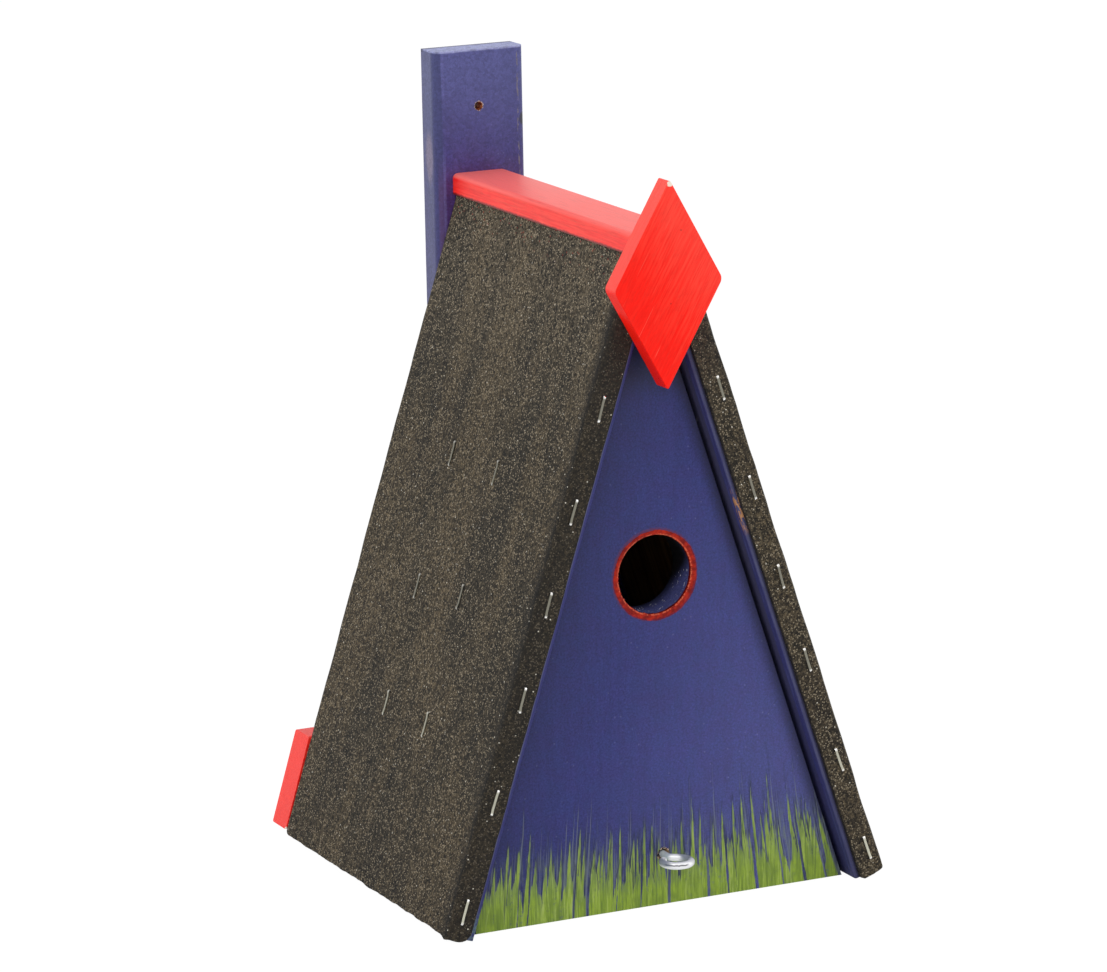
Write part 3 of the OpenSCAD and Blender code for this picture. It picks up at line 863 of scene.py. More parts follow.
def worn_and_lit_sides(f, colour, x, right, depth, patchy):
    """A painted sheen on the left face, a painted shade band with a pale line beside its front arris, and
    chips on the right.
    """
    # Painted sheen: the left face is lighter, as grazing light makes it.
    side = f.both(f.step(x, 1.6, 0.6), f.step(depth, 3.6, 4.8))
    colour = f.coat(colour, SHEEN_ON_LEFT_FACE, f.both(side, f.scaled(patchy, 0.5, 0.35)))
    soft = f.scaled(patchy, 1.2, -0.6)
    wavy = f.plus(x, soft)
    # Painted shade: a darker band on the rounded arris between the left and the front face.
    colour = f.coat(colour, ARRIS_SHADE_BAND, f.both(f.step(wavy, 2.9, 2.2), f.step(depth, 5.2, 4.2)), 0.6)
    beside = f.both(f.step(f.off(wavy, 3.2), 0.8, 0.3), f.step(patchy, 0.3, 0.7))
    colour = f.coat(colour, PALE_LINE, beside)
    dashes = f.step(f.noise(1.1, 4, 0.75, UP, 3), 0.47, 0.55)
    line = f.step(f.off(f.scaled(soft, 1.2, right), 3.4), 0.6, 0.25)
    return f.coat(colour, CHIPPED_LINE, f.both(line, dashes), 0.55)

def worn_and_lit_ends(f, colour, x, right, depth, z, patchy):
    """A dent high on the right arris, a top painted lighter as lit from above, a thin rear edge, and a smudge
    on the left face.
    """
    dent = f.step(f.away(f.minus(right, 1.3), f.times(f.plus(z, 30), 0.6)), 1.9, 1.1)
    colour = f.coat(colour, DENT, f.both(dent, f.step(depth, 4.6, 3.4)), 0.85)
    # Painted light: the top end is lighter, as if lit from above.
    end = f.step(f.plus(z, f.scaled(patchy, 0.8, -0.4)), -0.9, -0.2)
    lit_top = f.shade(LIT_TOP_PAINT, 0.95, f.noise(2.2, 4, 0.85, ACROSS, 2))
    colour = f.coat(colour, lit_top, end, 0.85)
    rear = f.both(f.step(f.scaled(patchy, 3, depth), 12.8, 14.2), f.step(z, -1.6, -0.8))
    colour = f.coat(colour, THIN_REAR, rear, 0.75)
    smudge = f.away(f.times(f.plus(z, 44), 0.35), f.minus(depth, 7.5))
    smudge = f.both(f.step(x, 1.6, 0.6), f.step(f.scaled(patchy, -3.0, smudge), 3.0, 0.5))
    return f.coat(colour, SMUDGE, smudge, 0.55)

print("batten:", ((batten_high - batten_low) / MM).round(1), "mm")

# %% [markdown]
# The finish goes over the batten in the order in which it aged: the whole board paled towards its top, its
# sides and ends wore and took their painted light and shade, dirt filled the pores, and last the hanging
# screw tore the paint round the hole. The arrises that a hand meets are rounder than the rest.

# %% Worn batten
BATTEN_BLUE = srgb(62, 54, 112)
PALER_BLUE = srgb(78, 81, 134)
RED_BLUSH = srgb(150, 44, 96)
DARK_CHIP = srgb(104, 72, 64)
PALE_CHIP = srgb(190, 176, 168)
HOLE_WOOD = srgb(214, 120, 62)
DARK_HOLE_WOOD = srgb(120, 48, 26)
hanging_hole = np.array(mounts["hanging_hole"]["pos_m"])

def hole_wood(f, colour, depth):
    """Torn paint round the hanging hole, and raw wood on its wall."""
    from_hole = f.from_axis(hanging_hole)
    torn = f.plus(from_hole, f.scaled(f.noise(0.7), 1.2, -0.6))
    chips = f.mix(f.step(f.noise(0.6), 0.45, 0.6), DARK_CHIP, PALE_CHIP)
    colour = f.coat(colour, chips, f.step(torn, 2.2, 1.8))
    wall = f.mix(f.step(f.noise(0.9), 0.4, 0.6), HOLE_WOOD, DARK_HOLE_WOOD)
    return f.coat(colour, f.coat(colour, wall, f.step(from_hole, 1.95, 1.7)), f.step(depth, 0.05, 0.5))

def hung_batten(f, colour):
    """Paler towards the top, then the worn sides and ends with their painted light and shade, fine pores, and
    the hole.
    """
    x = f.along(ACROSS, (batten_low[0], 0, 0))
    right = f.along(-ACROSS, (batten_high[0], 0, 0))
    depth = behind(f, batten_low[1])
    z = above(f, batten_high[2])
    patchy = f.noise(7, 3, 0.6, UP, 4)
    colour = f.coat(colour, f.shade(PALER_BLUE, 0.25, patchy), f.step(z, -62, -4))
    colour = worn_and_lit_sides(f, colour, x, right, depth, patchy)
    colour = worn_and_lit_ends(f, colour, x, right, depth, z, patchy)
    colour = f.shade(colour, 0.6, f.noise(0.75, 4, 0.85))
    colour = f.shade(colour, 0.14, f.cells(1.1)[0][0])
    low = f.both(f.step(z, -40, -60), f.step(depth, 2.0, 1.0))
    colour = f.coat(colour, RED_BLUSH, low, 0.12)
    return hole_wood(f, colour, depth)

batten_blue = painted_blue("batten_paint", extra=hung_batten, tint=BATTEN_BLUE)
to_left, to_right, to_front, to_top = Vector(-ACROSS), Vector(ACROSS), Vector(-BACK), Vector(UP)
worn = [(to_left, to_front), (to_right, to_front), (to_right, to_top), (to_front, to_top)]
broken_arrises("hanging_batten", batten_blue, 0.4, rounder=worn)

# %% [markdown]
# ## Red laths
# The crosspiece, the ridge cap and the diamond are brushed with bright red. Plain red would look like
# plastic: streaks between a deep and a lighter red show how the brush went, along each lath and across the
# diamond. Here and there a corner is chipped to the wood. Cutting the corner off would cost a mesh for two
# square millimetres, so the chip is a small ball of bare wood in the finish, with a torn edge.

# %% Red paint
SCRATCH = srgb(255, 120, 100)
RED = srgb(254, 54, 38)
DEEP_RED = srgb(246, 22, 8)
SHEEN_RED = srgb(255, 84, 74)
DARK_SPECK = srgb(120, 20, 16)
CHIPPED_WOOD = srgb(238, 222, 204)

def red_colour(f, brushed_along, deep=None):
    """Brushed red between a deep and a lighter tone; deep(f) is 0 where only the deep tone shows."""
    strokes = f.noise(0.8, 4, 0.66, brushed_along, 22)
    tone = f.step(strokes, 0.38, 0.62)
    if deep:
        tone = f.times(tone, deep(f))
    colour = f.shade(f.mix(tone, DEEP_RED, RED), 0.09, f.noise(6, 4, 0.6))
    scratch = f.step(f.noise(0.7, 2, 0.5, brushed_along, 40), 0.68, 0.76)
    colour = f.coat(colour, SCRATCH, scratch, 0.45)
    return f.coat(colour, DARK_SPECK, f.dots(4.5, (0.9, 0.92), (0.12, 0.06)), 0.6), strokes

def painted_red(name, brushed_along, chip=None, sheen=None, deep=None, extra=None, specular=0.4):
    """The red finish. chip is the place of a small chip; the mask function after it says where a sheen of
    lighter red is painted on.
    """
    f = Finish(name, specular=specular)
    colour, strokes = red_colour(f, brushed_along, deep)
    # A painted sheen: lighter red where that mask says.
    if sheen:
        colour = f.coat(colour, f.shade(SHEEN_RED, 0.12, strokes), sheen(f))
    if extra:
        colour = extra(f, colour)
    if chip is not None:
        away = f.away(*(f.along(axis, chip) for axis in (ACROSS, BACK, UP)))
        torn = f.scaled(f.scaled(f.noise(0.8), 2.0, -1.0), 0.5, away)
        colour = f.coat(colour, CHIPPED_WOOD, f.step(torn, 1.25, 1.0))
    return f.finish(colour, 0.4, f.bump(strokes, 0.14))

cross_points = points_of("back_crosspiece")
cross_corner = cross_points[cross_points[:, 0].argmin()] * (1, 0, 1) + cross_points[:, 1].min() * BACK
broken_arrises("back_crosspiece", painted_red("red_paint_cross", ACROSS, cross_corner), 0.5)

# %% [markdown]
# The ridge cap lies flat, and its top is painted lighter and pinker as a sheen, most of all to the rear,
# where the batten takes light away. Along its lower edge a dark, ragged line is painted: the contact shadow
# on the felt, and paint that ran into the grains.

# %% Ridge cap
BRUSH_LINE = srgb(176, 40, 40)
PINK_TOP_SHEEN = srgb(255, 152, 148)
RUN_AND_SHADOW_RED = srgb(88, 20, 15)

cap_points = points_of("ridge_cap")
cap_low, cap_high = cap_points.min(0), cap_points.max(0)

def sheen_on_cap_top(f):
    """A painted sheen on its top, weaker along the dark lines between the brush strokes."""
    lines = f.step(f.noise(0.8, 3, 0.7, BACK, 16), 0.34, 0.44)
    return f.both(f.step(above(f, cap_high[2]), -2.4, -0.4), f.scaled(lines, 0.35, 0.65))

def cap_marks(f, colour):
    """Brush lines on the sides, a painted sheen on the top, and a rough, dark lower edge: painted contact
    shadow, and paint that met the felt.
    """
    lines = f.noise(0.9, 4, 0.7, BACK, 18)
    colour = f.shade(colour, 0.3, lines)
    colour = f.coat(colour, BRUSH_LINE, f.step(lines, 0.32, 0.26), 0.4)
    # Painted sheen: the top is lighter and pinker, most of all to the rear, where the batten takes light
    # away.
    upper = f.step(above(f, cap_high[2]), -2.0, -0.4)
    rearward = f.step(behind(f, cap_low[1]), 60, 160, "LINEAR")
    colour = f.coat(colour, PINK_TOP_SHEEN, f.both(upper, f.scaled(rearward, 0.34, 0.08)))
    # A painted contact shadow along the lower edge, ragged like paint that ran into the felt.
    ragged = f.scaled(f.noise(2.4, 4, 0.7), -1.6, f.plus(above(f, cap_low[2]), 0.8))
    return f.coat(colour, RUN_AND_SHADOW_RED, f.step(ragged, 1.15, 0.5), 0.85)

broken_arrises("ridge_cap", painted_red("red_paint", BACK, sheen=sheen_on_cap_top, extra=cap_marks), 0.3)

# %% [markdown]
# The diamond is fixed in front of the ridge and was painted last. It was brushed from its left corner to
# its tip, got a second coat at the left corner, and its tip is chipped. Its upper edges catch the light at a
# grazing angle, and that sheen is painted on them.

# %% Gable diamond
LIT_RED = srgb(255, 98, 84)

diamond_face = diamond_points[:, 1].min()
diamond_tip = diamond_points[diamond_points[:, 2].argmax()]
diamond_side = diamond_points[diamond_points[:, 0].argmin()]
diamond_brushed = (diamond_tip - diamond_side) * (1, 0, 1)
tip_chip = diamond_tip * (1, 0, 1) + diamond_face * BACK + np.array([0.1, 0, -1.0]) * MM

def sheen_on_diamond_edges(f):
    """Where a sheen is painted: its upper edge faces, behind the front and above the side corners."""
    # Painted sheen on the upper edge faces.
    upper = f.step(f.along(UP, diamond_side), -1, 1)
    return f.times(f.both(f.step(behind(f, diamond_face), 0.1, 0.5), upper), 0.9)

def lit_diamond(f, colour):
    """It gets lighter to the upper right, and is finely streaked."""
    lighter = f.step(f.along((0.8, 0, 0.6), diamond_side), 10, 48)
    colour = f.coat(colour, LIT_RED, lighter, 0.32)
    return f.shade(colour, 0.22, f.noise(0.9, 4, 0.75, diamond_brushed, 5))

def deep_diamond(f):
    """Its left corner got a second coat."""
    return f.scaled(f.step(f.along((1, 0, 0.35), diamond_side), 6, 30), 0.8, 0.2)

diamond_red = painted_red(
    "red_paint_diamond", diamond_brushed, tip_chip, sheen_on_diamond_edges, deep_diamond, lit_diamond, 0.12
)
broken_arrises("gable_diamond", diamond_red, 0.4)

# %% [markdown]
# ## Zinc
# Nails and screws are galvanised: a bright metal with a soft crystal clouding, which makes its colour and
# its gloss vary together. The two nails on which the front turns keep the construction's shape.

# %% Zinc
ZINC_GREY = srgb(226, 229, 233)

def metal(name, colour, roughness, mottle):
    """Metal with clouds of about mottle millimetres, duller where they are lighter."""
    f = Finish(name, metallic=1.0)
    clouds = f.noise(mottle, 3, 0.6)
    rough = f.scaled(clouds, 0.25, roughness - 0.12)
    return f.finish(f.shade(colour, 0.16, clouds), rough, f.bump(f.noise(0.5), 0.03))

zinc = metal("zinc", ZINC_GREY, 0.24, 1.5)
for side in slopes:
    nodes[f"{side}_pivot_nail"].data.materials.append(zinc)
print("zinc on", len(slopes), "pivot nails")

# %% [markdown]
# ## Bent sheets and bent wire
# Felt, staples and the screw eye are all bent to shape. A curve object could be bevelled into a wire, but a
# line of points can carry the felt as well. It runs through a few corners, each turned with a radius, and
# is then cut into equal steps. At a corner, the arc's middle lies on the bisector at radius / cos(half of
# the turn), and the arc begins radius * tan(half of the turn) before the corner.

# %% Bent paths
def equal_steps(line, count):
    """The line cut again into count points at equal distances along it."""
    travelled = np.concatenate(([0], np.cumsum(np.linalg.norm(np.diff(line, axis=0), axis=1))))
    wanted = np.linspace(0, travelled[-1], count)
    return np.stack([np.interp(wanted, travelled, line[:, k]) for k in range(line.shape[1])], -1)

def bent_path(corners, radius, count):
    """count points at equal steps along a line whose inner corners are turned with a radius."""
    corners = np.asarray(corners, float)
    line = [corners[0]]
    for before, corner, after in zip(corners, corners[1:], corners[2:]):
        a = (before - corner) / np.linalg.norm(before - corner)
        b = (after - corner) / np.linalg.norm(after - corner)
        half = np.arccos(np.clip(-(a @ b), -1, 1)) / 2
        middle = corner + (a + b) / np.linalg.norm(a + b) * radius / np.cos(half)
        start = corner + a * radius * np.tan(half) - middle
        end = corner + b * radius * np.tan(half) - middle
        for t in np.linspace(0, 1, 9):
            weights = np.sin((1 - t) * 2 * half), np.sin(t * 2 * half)
            line.append(middle + (weights[0] * start + weights[1] * end) / np.sin(2 * half))
    line.append(corners[-1])
    return equal_steps(np.array(line), count)

def length_of(line):
    """The sum of the steps of a line."""
    return np.linalg.norm(np.diff(line, axis=0), axis=1).sum()

def directions(line):
    """Unit vectors along a line, at each of its points."""
    along = np.gradient(line, axis=0)
    return along / np.linalg.norm(along, axis=-1, keepdims=True)

right_angle = bent_path([(0, 0), (10, 0), (10, 10)], 2, 30)
print("a bent right angle of 20 mm measures", length_of(right_angle).round(2), "mm")

# %% [markdown]
# A wire is a section that is carried along a line: each point of the section moves sideways, across the
# line, and along the normal of the plane in which the line is bent. The two ends shrink to a point and
# close it.

# %% Wire along a path
def swept(line, normal, section, swell=None):
    """A closed tube: section, as (n, 2) offsets, carried along a flat line; normal is square to its plane."""
    swell = np.ones(len(line)) if swell is None else swell
    across = np.cross(directions(line), normal)
    rings = line[:, None] + swell[:, None, None] * (
        section[None, :, :1] * across[:, None] + section[None, :, 1:] * normal
    )
    start = np.broadcast_to(line[0], rings[:1].shape)
    end = np.broadcast_to(line[-1], rings[:1].shape)
    rings = np.concatenate((start, rings, end))
    return rings, quads(len(rings), len(section), wrap_columns=True)

def oval(width, height, count):
    """A flattened ellipse: half the width times cos(a) ^ 0.7 and half the height times sin(a) ^ 0.7, with the
    signs of the cosine and the sine kept."""
    a = np.linspace(0, 2 * np.pi, count, endpoint=False)
    round_it = np.stack((np.cos(a), np.sin(a)), -1)
    return np.array([width / 2, height / 2]) * np.sign(round_it) * np.abs(round_it) ** 0.7

print("corners of a staple wire's section:", len(oval(0.55, 1.1, 12)))

# %% [markdown]
# ## Roofing felt
# Roofing felt is a bitumen sheet that was rolled in crushed slate. Up close it is all grain: half a
# millimetre each, most of it dark brown, some pale, a few bright. Cells of that size, each with random
# values of its own, are closer to it than smooth noise. The sheet lies in golden and dark bands along the
# slope, as it came off the roll. Where it was folded, grains broke away and the bitumen shows, nearly
# black.

# %% Felt's grain
DARK_FELT = srgb(42, 37, 28)
GOLDEN_FELT = srgb(66, 57, 42)
PALE_GRAIN = srgb(164, 150, 126)
WIDE_PALE_GRAIN = srgb(128, 116, 96)

def felt_grain(f, slope, blotch, grains, near):
    """Bands, then grains of two sizes, blotches and streaks, then pale grains, stronger near the ridge."""
    bands = f.noise(17, 3, 0.55, slope.up, 4.5)
    coarse, _ = f.cells(1.0)
    streaks = f.noise(0.9, 3, 0.6, slope.up, 9)
    colour = f.coat(DARK_FELT, GOLDEN_FELT, f.step(bands, 0.34, 0.62))
    for amount, pattern in ((0.85, grains[0]), (0.75, coarse[0]), (0.35, blotch), (0.35, streaks)):
        colour = f.shade(colour, amount, pattern)
    light_grain = f.both(f.step(grains[1], 0.8, 0.86), f.step(near, 0.75, 0.35))
    high = f.step(f.along(slope.up, slope.foot), 190, 250)
    colour = f.coat(colour, PALE_GRAIN, light_grain, f.scaled(high, 0.2, 0.74))
    return f.coat(colour, WIDE_PALE_GRAIN, f.both(high, f.step(coarse[1], 0.55, 0.75)), 0.3)

print("pale grains reflect", round(PALE_GRAIN[0] / DARK_FELT[0], 1), "times as much red as the dark felt")

# %% [markdown]
# What happened to the felt lies over its grain: it was folded, hammered and cut. All of that is near an
# edge, so each mark is a step in the distance from the front or in the distance out of the board. Blotchy
# noise shifts the distance from the front a little, because a fold never breaks along a ruled line. Shade is
# painted in too: in the crease of the fold, and beside the diamond.

# %% Felt's folds and cuts
BRIGHT_GRAIN = srgb(232, 226, 210)
BITUMEN = srgb(24, 21, 17)
CREASE_SHADE = srgb(14, 13, 12)
FELT_SHADE = srgb(22, 16, 14)
RED_DUST = srgb(150, 34, 26)
CUT_FELT = srgb(22, 20, 20)
roof_front = points_of("left_felt")[:, 1].min()

# Bare strip beside the felt in front, how dark the felt is near its fold and on its front edge, and the
# sheet's lower edge as (distance from its front end, height)
FELT_EDGES = {
    "left": (2.7, 0.7, 0.65, [(0, 2.3), (0.7, 0.7), (1.8, -0.4), (4, -1.1), (6, -1.3), (8.6, -1.0),
                              (9.6, -0.6), (10.6, -1.7), (12.0, -0.9), (15, -0.2), (19, 0.0)]),
    "right": (1.7, 0.2, 0.0, [(0, 0.6), (0.6, -0.2), (1.6, -0.7), (8, -0.5), (11, -0.2), (19, 0.0)]),
}

def felt_finish(side):
    """The grain, dark at the folded front edge, with painted shade in its crease and beside the diamond,
    sparks, red specks and a black cut.
    """
    slope = slopes[side]
    margin, dark_fold, dark_edge, _ = FELT_EDGES[side]
    f = Finish(f"roofing_felt_{side}", specular=0.3)
    grains, near = f.cells(0.55)
    sparks, spark_near = f.cells(1.3)
    blotch = f.noise(3.5, 4, 0.65)
    colour = felt_grain(f, slope, blotch, grains, near)
    from_front = f.plus(behind(f, roof_front), f.scaled(blotch, 7, -3.5))
    fold = f.times(f.step(from_front, 11.0, 2.0), dark_fold)
    folded = f.math("MAXIMUM", fold, f.times(f.step(from_front, 2.0, 0.8), dark_edge))
    colour = f.coat(colour, BITUMEN, folded)
    # Painted shade in the crease of the front fold.
    crease = f.both(f.step(f.off(from_front, 2.6), 1.2, 0.3), f.step(f.noise(7, 3, 0.6), 0.36, 0.5))
    colour = f.coat(colour, CREASE_SHADE, crease, 0.7)
    spark = f.both(f.step(sparks[0], 0.93, 0.97), f.step(spark_near, 0.28, 0.12))
    colour = f.coat(colour, BRIGHT_GRAIN, spark, 0.85)
    # Painted shadow of the diamond on the felt beside it.
    shaded = f.both(f.step(from_front, 8.0, 2.0), f.step(above(f, diamond_foot), -12, 6))
    colour = f.coat(colour, FELT_SHADE, shaded, 0.4)
    under_cap = f.step(f.along(slope.up, slope.place(0.0, 0.0, slope.length)), -16, -4)
    red = f.both(f.step(sparks[1], 0.84, 0.88), f.step(spark_near, 0.34, 0.22), under_cap)
    colour = f.coat(colour, RED_DUST, red, 0.7)
    cut = f.step(f.along(slope.out, slope.foot), margin + 0.4, margin + 0.15)
    colour = f.coat(colour, CUT_FELT, cut, 0.75)
    height = f.times(grains[0], f.step(near, 0.9, 0.2))
    return f.finish(colour, 0.8, f.bump(height, 0.22))

felt_of = {side: felt_finish(side) for side in slopes}
print("felt finishes:", {side: len(felt.node_tree.nodes) for side, felt in felt_of.items()}, "nodes")

# %% [markdown]
# Where a staple pulls the felt down, it rises a little all round, as a mattress does round its buttons. A
# cloth simulation could find that form, but felt is stiff, and its rise depends only on how far away the
# nearest staples are. So the staples are found first: a crown is flat on the roof or on one of its two
# edges, and the longer side of its box says which.

# %% Where the staples pull
def crown(side, solid):
    """The middle of a staple's crown, and the direction its legs point."""
    slope = slopes[side]
    middle = (solid.min(0) + solid.max(0)) / 2
    out, back, up = slope.measure(solid)
    if np.ptp(out) > np.ptp(back):
        legs = -slope.out
        level = out.max()
        place = slope.place(np.array(level), middle[1], (up.min() + up.max()) / 2)
    else:
        towards = 1 if middle[1] < 0 else -1
        legs = towards * BACK
        level = back.min() if towards > 0 else back.max()
        place = slope.place((out.min() + out.max()) / 2, np.array(level), (up.min() + up.max()) / 2)
    return place, legs

def crowns(side):
    """The crowns of each group of staples on one side of the roof."""
    groups = [n for n in nodes if n.startswith(side) and n.endswith("staples")]
    return {n: [crown(side, solid) for solid in solids_of(n)] for n in groups}

def pulled(points, middles, up):
    """How far felt rises near staples. With d as the distance from a crown in millimetres, the rise is
    0.3 mm times exp(-(d / 9)^2) - 1.6 exp(-(d / 3)^2), and nothing where that is negative."""
    rise = np.zeros(points.shape[:-1])
    for middle in middles:
        away = points - middle
        climb = away @ up
        beside = np.linalg.norm(away - climb[..., None] * up, axis=-1)
        distance = np.hypot(np.maximum(np.abs(climb) - 4 * MM, 0), beside) / MM
        rise = np.maximum(rise, np.exp(-((distance / 9) ** 2)) - 1.6 * np.exp(-((distance / 3) ** 2)))
    return 0.3 * MM * rise

staples = {side: crowns(side) for side in slopes}
print("staples:", {n: len(found) for groups in staples.values() for n, found in groups.items()})

# %% [markdown]
# One sheet of felt starts on the front edge of the roof board, is folded back over it, runs to the rear and
# is folded again. The grid's rows follow that path and its columns climb the slope. A Solidify modifier
# could give the sheet its thickness, but here the grid comes back on the other side, so that its cut edges
# stay as ragged as its lower edge is.

# %% Roofing felt
FOLD = 2.1 * MM
FELT_ROWS, FELT_COLUMNS = 128, 182
UNDER = 0.96
WIDE_WAVE, SMALL_WAVE, SLIP = 0.16, 0.07, 0.12 * MM

def lower_edge(side, run, seed):
    """Height of the sheet's lower edge along its path: as cut, ragged, and higher on the rear fold."""
    low_edge = FELT_EDGES[side][3]
    ragged = 0.25 * cloud(run, 0, 7, seed + 3) + 0.12 * cloud(run, 0, 1.8, seed + 4)
    foot = (np.interp(run, *zip(*low_edge)) + ragged) * MM
    return foot + 1.6 * MM * ease(run, run[-1] - 13.5, run[-1] - 10)

def felt_sheet(side, seed):
    """Points on the path at each height, moved along the sheet's normal by a wide and a small wave and by the
    pull of the staples, and along the path by the slip at the two cut edges. The under side lies 0.96 of the
    sheet's thickness below."""
    slope = slopes[side]
    out, back, up = slope.measure(points_of(f"{side}_felt"))
    thick = out.max() - slope.measure(points_of(f"{side}_roof_board"))[0].max()
    start = (FELT_EDGES[side][0] * MM, back.min())
    corners = [start, (out.max(), back.min()), (out.max(), back.max()), (out.min(), back.max())]
    path = bent_path(corners, FOLD, FELT_ROWS)
    along = directions(path)
    outwards = np.stack((along[:, 1], -along[:, 0]), -1)
    run = np.linspace(0, 1, FELT_ROWS) * length_of(path) / MM
    foot = lower_edge(side, run, seed)
    heights = foot[:, None] + (up.max() - foot[:, None]) * np.linspace(0, 1, FELT_COLUMNS)
    face = slope.place(path[:, None, 0], path[:, None, 1], heights)
    normals = outwards[:, :1] * slope.out + outwards[:, 1:] * BACK
    place = run[:, None], heights / MM
    wave = WIDE_WAVE * cloud(*place, 26, seed) + SMALL_WAVE * cloud(*place, 6, seed + 1)
    near_cut = np.exp(-run / 2.0) + np.exp(-(run[-1] - run) / 2.0)
    slip = SLIP * near_cut[:, None] * cloud(heights / MM, 0, 5, seed + 2)
    middles = [middle for group in staples[side].values() for middle, _ in group]
    face = face + normals[:, None] * (wave * MM + pulled(face, middles, slope.up))[..., None]
    face = face + slip[..., None] * (along[:, None, :1] * slope.out + along[:, None, 1:] * BACK)
    under = face - normals[:, None] * thick * UNDER
    return np.concatenate((face, under[::-1]))

def closed_sheet():
    """Quads of a grid that comes back on its other side, and of the strips that close its two sides."""
    faces = quads(2 * FELT_ROWS, FELT_COLUMNS, wrap_rows=True)
    i = np.arange(FELT_ROWS - 1)
    lip = np.stack((i, i + 1, 2 * FELT_ROWS - 2 - i, 2 * FELT_ROWS - 1 - i), -1) * FELT_COLUMNS
    return np.concatenate((faces, lip, lip[:, ::-1] + FELT_COLUMNS - 1))

for side, seed in (("left", 11), ("right", 31)):
    node = f"{side}_felt"
    make_piece(
        node + "_sheet", felt_sheet(side, seed), closed_sheet(), felt_of[side], body_of[node],
        node, sharp=50
    )

# %% [markdown]
# ## Staples
# A staple is flat wire. Its two ends stand a little proud, because the middle of the crown was driven
# deeper into the felt than the bends. The bends carry painted highlights, and the staples low on the roof
# are lighter than those above, so both are stored at the points as marks for the finish to read.

# %% Staples
DULL_WIRE = srgb(120, 117, 106)
LOWER_STAPLE_WIRE = srgb(206, 204, 186)
GLINT_WIRE = srgb(252, 250, 246)
HALF_CROWN = 5.05 * MM
LEG = 5.5 * MM
SAG = 0.25 * MM
WIRE_THICK, WIRE_WIDE = 0.55 * MM, 1.1 * MM
WIRE_BEND = 0.45 * MM

def staple_finish(name):
    """Galvanised wire: duller the higher it sits, with painted highlights at its two bends."""
    f = Finish(name, metallic=1.0)
    bend = f.mark("bend")
    colour = f.coat(DULL_WIRE, LOWER_STAPLE_WIRE, f.mark("fresh"))
    # Painted highlights at the two bends.
    colour = f.coat(colour, GLINT_WIRE, bend)
    return f.finish(f.shade(colour, 0.12, f.noise(1.2, 3, 0.6)), f.scaled(bend, -0.2, 0.45))

staple_steel = staple_finish("staple_steel")
print("staple of", 2 * HALF_CROWN / MM, "by", LEG / MM, "mm")

# %% [markdown]
# Every staple follows the same six corners, but no two were driven alike: each is turned a little, and its
# two ends stand proud by different amounts. One random generator with a seed for each group gives those
# numbers.

# %% Bent staples
def staple_corners(middle, legs, up, lift):
    """A leg, a bend that stands lift proud of the sag, the sagging crown, and the same again."""
    return [
        middle - HALF_CROWN * up + LEG * legs,
        middle - HALF_CROWN * up + (SAG - lift[0]) * legs,
        middle - 0.55 * HALF_CROWN * up + SAG * legs,
        middle + 0.55 * HALF_CROWN * up + SAG * legs,
        middle + HALF_CROWN * up + (SAG - lift[1]) * legs,
        middle + HALF_CROWN * up + LEG * legs,
    ]

def staple_wires(side, group, found, seed):
    """One piece for a group: a flattened wire carried along each staple's bent path."""
    chance = np.random.default_rng(seed)
    slope = slopes[side]
    section = oval(WIRE_THICK, WIRE_WIDE, 12)
    rings, bends, fresh = [], [], []
    for middle, legs in found:
        up = slope.up + 0.02 * chance.normal() * np.cross(legs, slope.up)
        lift = (0.1 + 0.35 * chance.random(2)) * MM
        line = bent_path(staple_corners(middle, legs, up, lift), WIRE_BEND, 60)
        normal = np.cross(legs, up)
        points, faces = swept(line, normal / np.linalg.norm(normal), section)
        rings.append(points)
        from_middle = np.abs((points - middle) @ slope.up) / MM
        bends.append(ease(from_middle, 3.9, 4.7) * (0.3 if "side" in group else 1.0))
        climb = (middle - slope.foot) @ slope.up / MM
        fresh.append(np.full(from_middle.shape, 1.0 - 0.9 * ease(climb, 20, 110)))
    faces = copies(faces, rings[0].shape[0] * rings[0].shape[1], len(rings))
    marks = {"bend": np.concatenate(bends), "fresh": np.concatenate(fresh)}
    return make_piece(
        group.replace("staples", "staple_wires"), np.concatenate(rings), faces, staple_steel,
        body_of[group], group, marks=marks
    )

for side, first_seed in (("left", 50), ("right", 60)):
    for number, (group, found) in enumerate(staples[side].items()):
        staple_wires(side, group, found, first_seed + number)

# %% [markdown]
# ## Screw eye
# The screw eye is one wire as well: a shank, a neck that bends out to one side, and a ring that runs nearly
# all the way round and stops short of the neck. A torus joined to a rod would show a seam where the real
# wire bends, so one line runs through both. Bright zinc shows its form mainly by what it mirrors, and in
# white light that is little, so its reflections are painted: the zinc is near-white and only partly metal,
# with a dark line along the ring's front, darker ends and a bluish neck.

# %% Screw eye
BRIGHT_ZINC = srgb(252, 253, 255)
DARK_LINE_REFLECTION = srgb(70, 66, 74)
DARK_ZINC_REFLECTION = srgb(92, 108, 126)
BLUE_NECK_REFLECTION = srgb(150, 178, 192)
NECK_BEND = 2.6 * MM
RING_START, RING_END = 56, 90 - 325
eye_low, eye_high = eye_points.min(0), eye_points.max(0)
eye_wire = np.ptp(eye_points[:, 2])
ring_outer = (eye_high[0] - eye_low[0]) / 2
ring_centre = np.array([eye_axis[0], eye_low[1] + ring_outer, eye_axis[2]])

